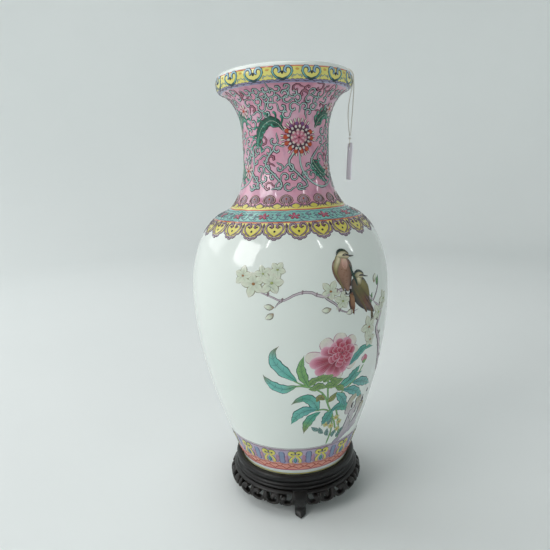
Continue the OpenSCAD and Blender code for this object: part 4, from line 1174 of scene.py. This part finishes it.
def leg_mesh(name, turn, material):
    """A leg, as rows of a rounded six-sided section. The front is flat at the knee, becomes a ridge
    below it and runs out into a pointed toe."""
    rows = 40
    z = np.linspace(0, RIM_Z, rows)
    outer = np.interp(z, [0, 0.7, 1.8, 3.2, 4.8, 6.8, 8.8, 11, 13.5, 15.9, 18.8, 21, 22.8, 24],
                      [67.0, 68.0, 67.7, 66.0, 64.0, 63.7, 64.4, 65.9, 66.8, 67.1, 66.9, 65.2, 62.4, 59.6])
    inner = np.interp(z, [0, 2.4, 6.6, 11, 15, 24], [59, 57.5, 56.9, 56, 50, 48.5])
    half = np.interp(z, [0, 4.4, 6.6, 9, 11, 13, 24], [5.0, 5.2, 5.0, 5.4, 6.1, 6.5, 6.5])
    ridge = np.interp(z, [0, 4, 9, 14, 19, 24], [1.0, 0.95, 0.9, 0.75, 0.35, 0.1])
    flat = half * (1 - ridge)
    depth = 0.4 + (0.62 + 0.5 * (z < 4) * (1 - z / 4)) * half * ridge
    x = np.stack([-flat, flat, half, half * 0.94, -half * 0.94, -half], axis=1)
    r = np.stack([outer, outer, outer - depth, inner, inner, outer - depth], axis=1)
    section = np.stack([x, -r], axis=-1)
    for _ in range(2):
        ahead = np.roll(section, -1, axis=1)
        cut = np.stack([0.82 * section + 0.18 * ahead, 0.18 * section + 0.82 * ahead], axis=2)
        section = cut.reshape(rows, -1, 2)
    points = np.concatenate([section, np.repeat(z[:, None, None], section.shape[1], axis=1)], axis=-1)
    around = section.shape[1]
    c, s = math.cos(turn * DEGREES), math.sin(turn * DEGREES)
    points = points.reshape(-1, 3) @ np.array([[c, s, 0], [-s, c, 0], [0, 0, 1]]) * MM
    faces, _, _ = grid_faces(rows, around, close_columns=True)
    ring = np.arange(around)
    caps = np.stack([ring, ring[::-1] + (rows - 1) * around])
    return mesh_object(name, points, [faces[:, ::-1], caps], material)


def apron_radius(height):
    """The apron's face swells out below the rim and turns in again at its lower edge."""
    t = np.clip((np.asarray(height, float) - APRON_Z) / APRON_H, 0, 1)
    return RIM_R - 0.6 + 6.4 * np.sin(126 * DEGREES * (1 - t))


def apron_slant(height):
    """Radius that the apron's face gains for each millimetre of height."""
    return (apron_radius(height + 0.05) - apron_radius(height - 0.05)) / 0.1


def on_apron(angle, height, lift):
    """A point on the apron's face, moved out by lift along the radius."""
    r, a = apron_radius(height) + lift, angle * DEGREES
    return np.stack([r * np.sin(a), -r * np.cos(a), height + 0 * r], axis=-1) * MM


def carved_apron(name, middle, material, node):
    """Openwork between two legs: a top and a bottom rail, and scrolls that mirror about the middle."""
    art = Painting(name, on_apron, apron_radius, apron_slant)
    deep = (5.2, 5.2)
    wood = np.full(3, 0.02)
    half_span = 54.6

    def carve(line, half, form="line", n=20, lift=0.2, crown=0.55):
        art.stroke(turned(line, middle), half, wood, form=form, n=n, lift=lift, crown=crown, sunk=deep)

    a = np.linspace(-half_span, half_span, 41)
    carve(np.stack([a, np.full(41, 22.2)], axis=1), 2.0, n=60)
    scrolls = (
        ([(-54.0, 21.6), (-54.2, 16.5), (-51.4, 12.6), (-46.6, 13.0), (-45.6, 17.0), (-48.6, 18.4)], 2.5),
        ([(-30.0, 21.8), (-33.0, 13.6), (-38.6, 12.4), (-42.0, 15.6), (-40.4, 20.0), (-36.6, 19.2),
          (-37.6, 16.6)], 2.6),
        ([(-29.6, 21.6), (-27.6, 14.6), (-23.4, 12.4), (-19.0, 14.0), (-18.4, 18.0), (-22.0, 19.4),
          (-23.4, 17.0)], 2.5),
        ([(-14.6, 21.6), (-15.6, 15.4), (-12.0, 12.2), (-6.4, 12.8), (-4.6, 16.8), (-8.2, 18.8),
          (-9.4, 16.4)], 2.5),
    )
    for side in (-1, 1):
        for line, half in scrolls:
            carve([(side * x, z) for x, z in line], half, form="drop", n=26)
        carve([(side * 30.0, 12.2), (side * 30.4, 16.0), (side * 30.0, 22.0)], 1.6, form="leaf", n=12,
              lift=0.3)
        for bar in ([(44.4, 20.8), (43.6, 15.0), (44.6, 11.6)], [(16.4, 21.4), (17.0, 15.0), (16.0, 11.8)]):
            carve([(side * x, z) for x, z in bar], 1.3, form="taper", n=12, lift=0.1)
    carve([(0, 12.2), (0, 17), (0, 22)], 2.2, form="leaf", n=12, lift=0.4)
    art.build("stand", material, "dark_hardwood", node)


# ---------------------------------------------------------------- thread and tag

TAG_AZ = 80 * DEGREES
THREAD_D = 0.8 * MM
OVER_LIP_HALF = [(61.2, 1.8, 388.2), (60.8, 1.8, 391.2), (59.3, 1.8, 393.8), (57.3, 1.8, 395.3),
                 (55.2, 1.8, 395.5), (53.6, 1.8, 394.3), (52.9, 1.8, 391.5), (52.6, 1.8, 388.8),
                 (51.6, 1.8, 386), (48.4, 1.8, 382.2), (45.6, 1.8, 378.2), (43.6, 1.8, 375.2),
                 (41.9, 1.6, 372), (40.8, 0, 370)]
STRAND_POINTS = [(61.2, 1.8, 387.9), (61.5, 1.8, 382.5), (61.2, 1.8, 375.5), (60.6, 1.8, 367),
                 (59.9, 1.8, 358.5), (59.2, 1.8, 350.5), (58.7, 1.8, 344.6), (58.2, 1.5, 341),
                 (57.8, 0, 339.6), (57.4, -1.5, 341), (57, -1.8, 344.6), (56.5, -1.9, 350.5),
                 (56.3, -2, 358), (57, -2, 366.5), (58.6, -1.9, 374.5), (60.2, -1.8, 382),
                 (61.2, -1.8, 387.9)]
KNOT, HOLE, TAG_TILT, TAG_TURN = (57.8, 0, 337.4), (57.4, 0, 328.4), 4, 12
TAG_H, TAG_W, TAG_T, HOLE_R, HOLE_DROP = 32.0, 20.0, 0.5, 2.0, 5.0


def in_plane(points):
    """Points [outwards, along the lip, up] (mm) of the thread's plane, in the frame (metres)."""
    out, along, up = np.asarray(points, float).T
    s, c = math.sin(TAG_AZ), math.cos(TAG_AZ)
    return np.stack([out * s + along * c, -out * c + along * s, up], axis=1) * MM


def make_threads(material):
    """The two loops of thread: one over the lip into the mouth, and one down to the tag's knot."""
    mirrored = [(o, -a, u) for o, a, u in OVER_LIP_HALF[-2::-1]]
    over_path = in_plane(smooth(OVER_LIP_HALF + mirrored, 220, even=True))
    strand_path = in_plane(smooth(STRAND_POINTS, 320, even=True))
    over = plied_tube("thread_in_mouth", over_path, THREAD_D, material)
    strands = plied_tube("thread_to_tag", strand_path, THREAD_D, material)
    return over, over_path, strands, strand_path


def make_knot(material):
    """The knot: a thread wound in a trefoil, (sin t + 2 sin 2t, cos t - 2 cos 2t, -1.6 sin 3t), and its
    loop through the tag's hole."""
    t = np.linspace(0, FULL_TURN, 120, endpoint=False)
    ball = np.stack([np.sin(t) + 2 * np.sin(2 * t), np.cos(t) - 2 * np.cos(2 * t), -1.6 * np.sin(3 * t)],
                    axis=1) * 0.27
    centre = np.array(KNOT)
    loop_r, low = 1.3, HOLE[2] + HOLE_R - 0.5 + 1.3
    a = np.linspace(np.pi, FULL_TURN, 14)
    bend = np.stack([np.full(14, HOLE[0]), loop_r * np.cos(a), low + loop_r * np.sin(a)], axis=1)
    hanging = np.concatenate([[(KNOT[0], -0.5, KNOT[2] - 0.2), (HOLE[0], -loop_r, low + 3)], bend,
                              [(HOLE[0], loop_r, low + 3), (KNOT[0], 0.5, KNOT[2] - 0.2)]])
    knot = plied_tube("thread_knot_wound", in_plane(np.concatenate([ball, ball[:1]]) + centre),
                      THREAD_D * 0.9, material)
    loop = plied_tube("thread_tag_loop", in_plane(smooth(hanging, 90, even=True)), THREAD_D * 0.9, material)
    return knot, loop


def make_tag(material):
    """The card: a ring of points from its hole out to its edge and back on the other face. It bows
    slightly across its width and its lower corners lift."""
    around = 96
    a = FULL_TURN * np.arange(around) / around
    across, up = np.cos(a), np.sin(a)
    top, bottom, half, corner = HOLE_DROP, HOLE_DROP - TAG_H, TAG_W / 2, 2.5
    reach = np.minimum(half / np.maximum(np.abs(across), 1e-9),
                       np.where(up > 0, top, -bottom) / np.maximum(np.abs(up), 1e-9))
    reach = np.minimum(reach, np.where(up > 0, (half + top - corner) / (np.abs(across) + np.abs(up)), 1e9))
    shares = np.array([0, 0.15, 0.35, 0.6, 0.85, 1.0])
    distance = HOLE_R + (reach[None] - HOLE_R) * shares[:, None]
    distance = np.concatenate([distance, distance[::-1]])
    face = np.repeat([TAG_T / 2, -TAG_T / 2], len(shares))
    x, y = distance * across, distance * up
    z = face[:, None] + 0.5 * (x / half) ** 2 + 0.5 * (np.clip(-y, 0, None) / 30) ** 2
    flat = np.stack([x, y, z], axis=-1).reshape(-1, 3)
    place = (
        Matrix.Rotation(TAG_AZ - math.pi / 2, 3, "Z")
        @ Matrix.Rotation(math.radians(TAG_TURN), 3, "Z")
        @ Matrix.Rotation(math.radians(TAG_TILT), 3, "Y")
        @ Matrix(((0, 0, 1), (1, 0, 0), (0, 1, 0)))
    )
    centre = in_plane([HOLE])[0]
    points = flat * MM @ np.array(place).T + centre
    faces, _, _ = grid_faces(len(distance), around, close_rows=True, close_columns=True)
    tag = mesh_object("string_tag", points, [faces], material)
    bevel = tag.modifiers.new("worn_edge", "BEVEL")
    bevel.width, bevel.segments, bevel.limit_method = 0.08 * MM, 2, "ANGLE"
    return tag


def make_tape(material):
    """A creased patch of paper tape on the inside of the flare, over the thread's loop."""
    rise, run = Z_LIP_MID - Z_NECK_HIGH, INNER_MOUTH_R - INNER_NECK_R
    rows, columns = 26, 30
    low, high, half_span = 27.0, 38.0, 7
    h = np.linspace(low, high, rows)[:, None]
    a = np.linspace(-half_span, half_span, columns)[None]
    wall = INNER_NECK_R + arc_in(h / rise, 1, rise, run)
    crease = 0.07 * np.sin(34 * a * DEGREES * 6 + h) * np.sin(h * 1.3)
    ridge = 0.55 * np.exp(-((np.abs(a) - 2.2) / 0.6) ** 2) * np.clip((h - low) / 3, 0, 1)
    rim = np.minimum(np.minimum(h - low, high - h), (half_span - np.abs(a)) * 0.75)
    lift_front = 0.1 + (0.28 + ridge + crease) * np.clip(rim / 0.4, 0.25, 1)
    sheets = []
    for lift in (lift_front, np.full((rows, columns), 0.05)):
        r, z = wall - 0.85 * lift, FOOT_Z + Z_NECK_HIGH + h + 0.53 * lift
        angle = TAG_AZ + a * DEGREES
        sheets.append(np.stack([r * np.sin(angle), -r * np.cos(angle), z + 0 * angle], axis=-1))
    front, back = sheets
    block = np.concatenate([front, back[:, ::-1]], axis=1)
    faces, _, _ = grid_faces(rows, 2 * columns, close_columns=True)
    ring = np.arange(2 * columns)
    caps = np.stack([ring, ring[::-1] + (rows - 1) * 2 * columns])
    return mesh_object("paper_tape_patch", block.reshape(-1, 3) * MM, [faces, caps], material)


# ---------------------------------------------------------------- floor and light

# Where the three small ceiling lights are, whose streaks show on the shoulder
TUBE_PLACES = [(-0.8, -1.18, 1.73), (1.03, -1.15, 1.61), (1.75, -0.31, 1.12)]


def make_stage():
    """A round pale floor that curves up into a wall all round, turned about Z, and soft studio light."""
    floor_r, cove, wall_h = 1.5, 0.7, 2.6
    a = np.linspace(-90, 0, 24) * DEGREES
    bend = np.stack([floor_r + cove * np.cos(a), cove + cove * np.sin(a)], axis=1)
    line = np.concatenate([[(0.002, 0.0)], bend, [(floor_r + cove, wall_h)]])
    segments = 128
    angle = FULL_TURN * np.arange(segments) / segments
    points = np.stack([np.outer(line[:, 0], np.sin(angle)), -np.outer(line[:, 0], np.cos(angle)),
                       np.repeat(line[:, 1:], segments, 1)], axis=-1).reshape(-1, 3)
    faces, _, _ = grid_faces(len(line), segments, close_columns=True)
    material, shader, wire, place = finish_of("studio_paper", Roughness=0.75)
    cloud = wire.noise(place, 3.0, 3.0)
    feed(wire, shader, Base_Color=wire.mix(cloud, srgb(0.892, 0.914, 0.911), srgb(0.912, 0.930, 0.926)))
    middle = np.arange(segments)[None]
    floor = mesh_object("studio_floor", points, [faces, middle], material)

    def softbox(name, place, aim, wide, tall, power, colour):
        lamp = bpy.data.lights.new(name, "AREA")
        lamp.shape, lamp.size, lamp.size_y = "RECTANGLE", wide, tall
        lamp.energy, lamp.color = power, colour
        box = bpy.data.objects.new(name, lamp)
        box.location = place
        box.rotation_euler = (Vector(aim) - Vector(place)).to_track_quat("-Z", "Y").to_euler()
        bpy.context.collection.objects.link(box)

    softbox("window_light", (-1.75, -1.0, 1.25), (0, 0, 0.2), 1.1, 1.4, 23, (1.0, 0.985, 0.98))
    softbox("side_light", (-1.5, 0.75, 1.3), (0, 0.3, 0.1), 1.1, 1.3, 5, (1.0, 1.0, 1.0))
    softbox("top_light", (-0.5, 0.4, 2.1), (-0.2, 0.2, 0.0), 2.0, 2.0, 19.5, (0.99, 0.99, 1.0))
    for k, place in enumerate(TUBE_PLACES):
        softbox(f"ceiling_tube_{k}", place, (0, 0, 0.26), 0.05, 0.42, 0.85, (1.0, 1.0, 1.0))
    world = bpy.data.worlds.new("studio_air")
    world.use_nodes = True
    air = world.node_tree.nodes["Background"]
    air.inputs["Color"].default_value = (0.96, 1.0, 0.99, 1)
    air.inputs["Strength"].default_value = 0.02
    bpy.context.scene.world = world
    bpy.context.scene.view_settings.view_transform = "Standard"


# ---------------------------------------------------------------- the whole


def main():
    """Makes every piece and puts it in its place, then the floor and the light."""
    make_camera()
    cotton = cotton_finish()
    over, over_path, strands, strand_path = make_threads(cotton)
    knot, loop = make_knot(cotton)
    card = paper_finish("tag_card_paper", srgb(0.985, 0.985, 1.0), srgb(0.92, 0.92, 0.97), 900.0, 0.1)
    tag = make_tag(card)
    fit_up(over, "vase", "cotton_thread", "thread_over_lip")
    fit_up(strands, "thread", "cotton_thread", "thread_strands")
    fit_up(knot, "tag", "cotton_thread", "thread_knot")
    fit_up(loop, "tag", "cotton_thread")
    fit_up(tag, "tag", "tag_paper", "tag_card")

    porcelain, enamel = porcelain_finish(), enamel_finish()
    fit_up(make_vase(porcelain), "vase", "porcelain", "vase_body")
    creped = paper_finish("creped_paper_tape", srgb(0.92, 0.88, 0.76), srgb(0.80, 0.75, 0.62), 1600.0, 0.4)
    fit_up(make_tape(creped), "vase", "paper_tape", "thread_tape")
    paintings = [mouth_border(), neck_scrolls(), neck_flowers(), lappet_border(), turquoise_scrolls(),
                 heart_border(), foot_border(), birds()]
    for turn in (0, 178):
        paintings += [branch(turn), blossoms(turn), garden_rock(turn), foliage(turn), peonies(turn)]
    for art in paintings:
        art.build("vase", enamel, "porcelain")

    dark_wood = dark_wood_finish("ebonised_hardwood", (0.004, 0.0036, 0.0036), 120.0)
    fit_up(stand_rim(dark_wood), "stand", "dark_hardwood", "stand_rim")
    for k in range(3):
        leg = leg_mesh(f"carved_leg_{k + 1}", 120 * k, dark_wood)
        fit_up(leg, "stand", "dark_hardwood", f"leg_{k + 1}")
        carved_apron(f"carved_apron_{k + 1}", 60 + 120 * k, dark_wood, f"apron_{k + 1}")
    for node, finish in (("seat_board", dark_wood_finish("plain_seat_wood", (0.011, 0.009, 0.008), 80.0)),
                         ("apron_dowels", bare_wood_finish())):
        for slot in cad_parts[node].material_slots:
            slot.material = finish
    make_stage()


main()
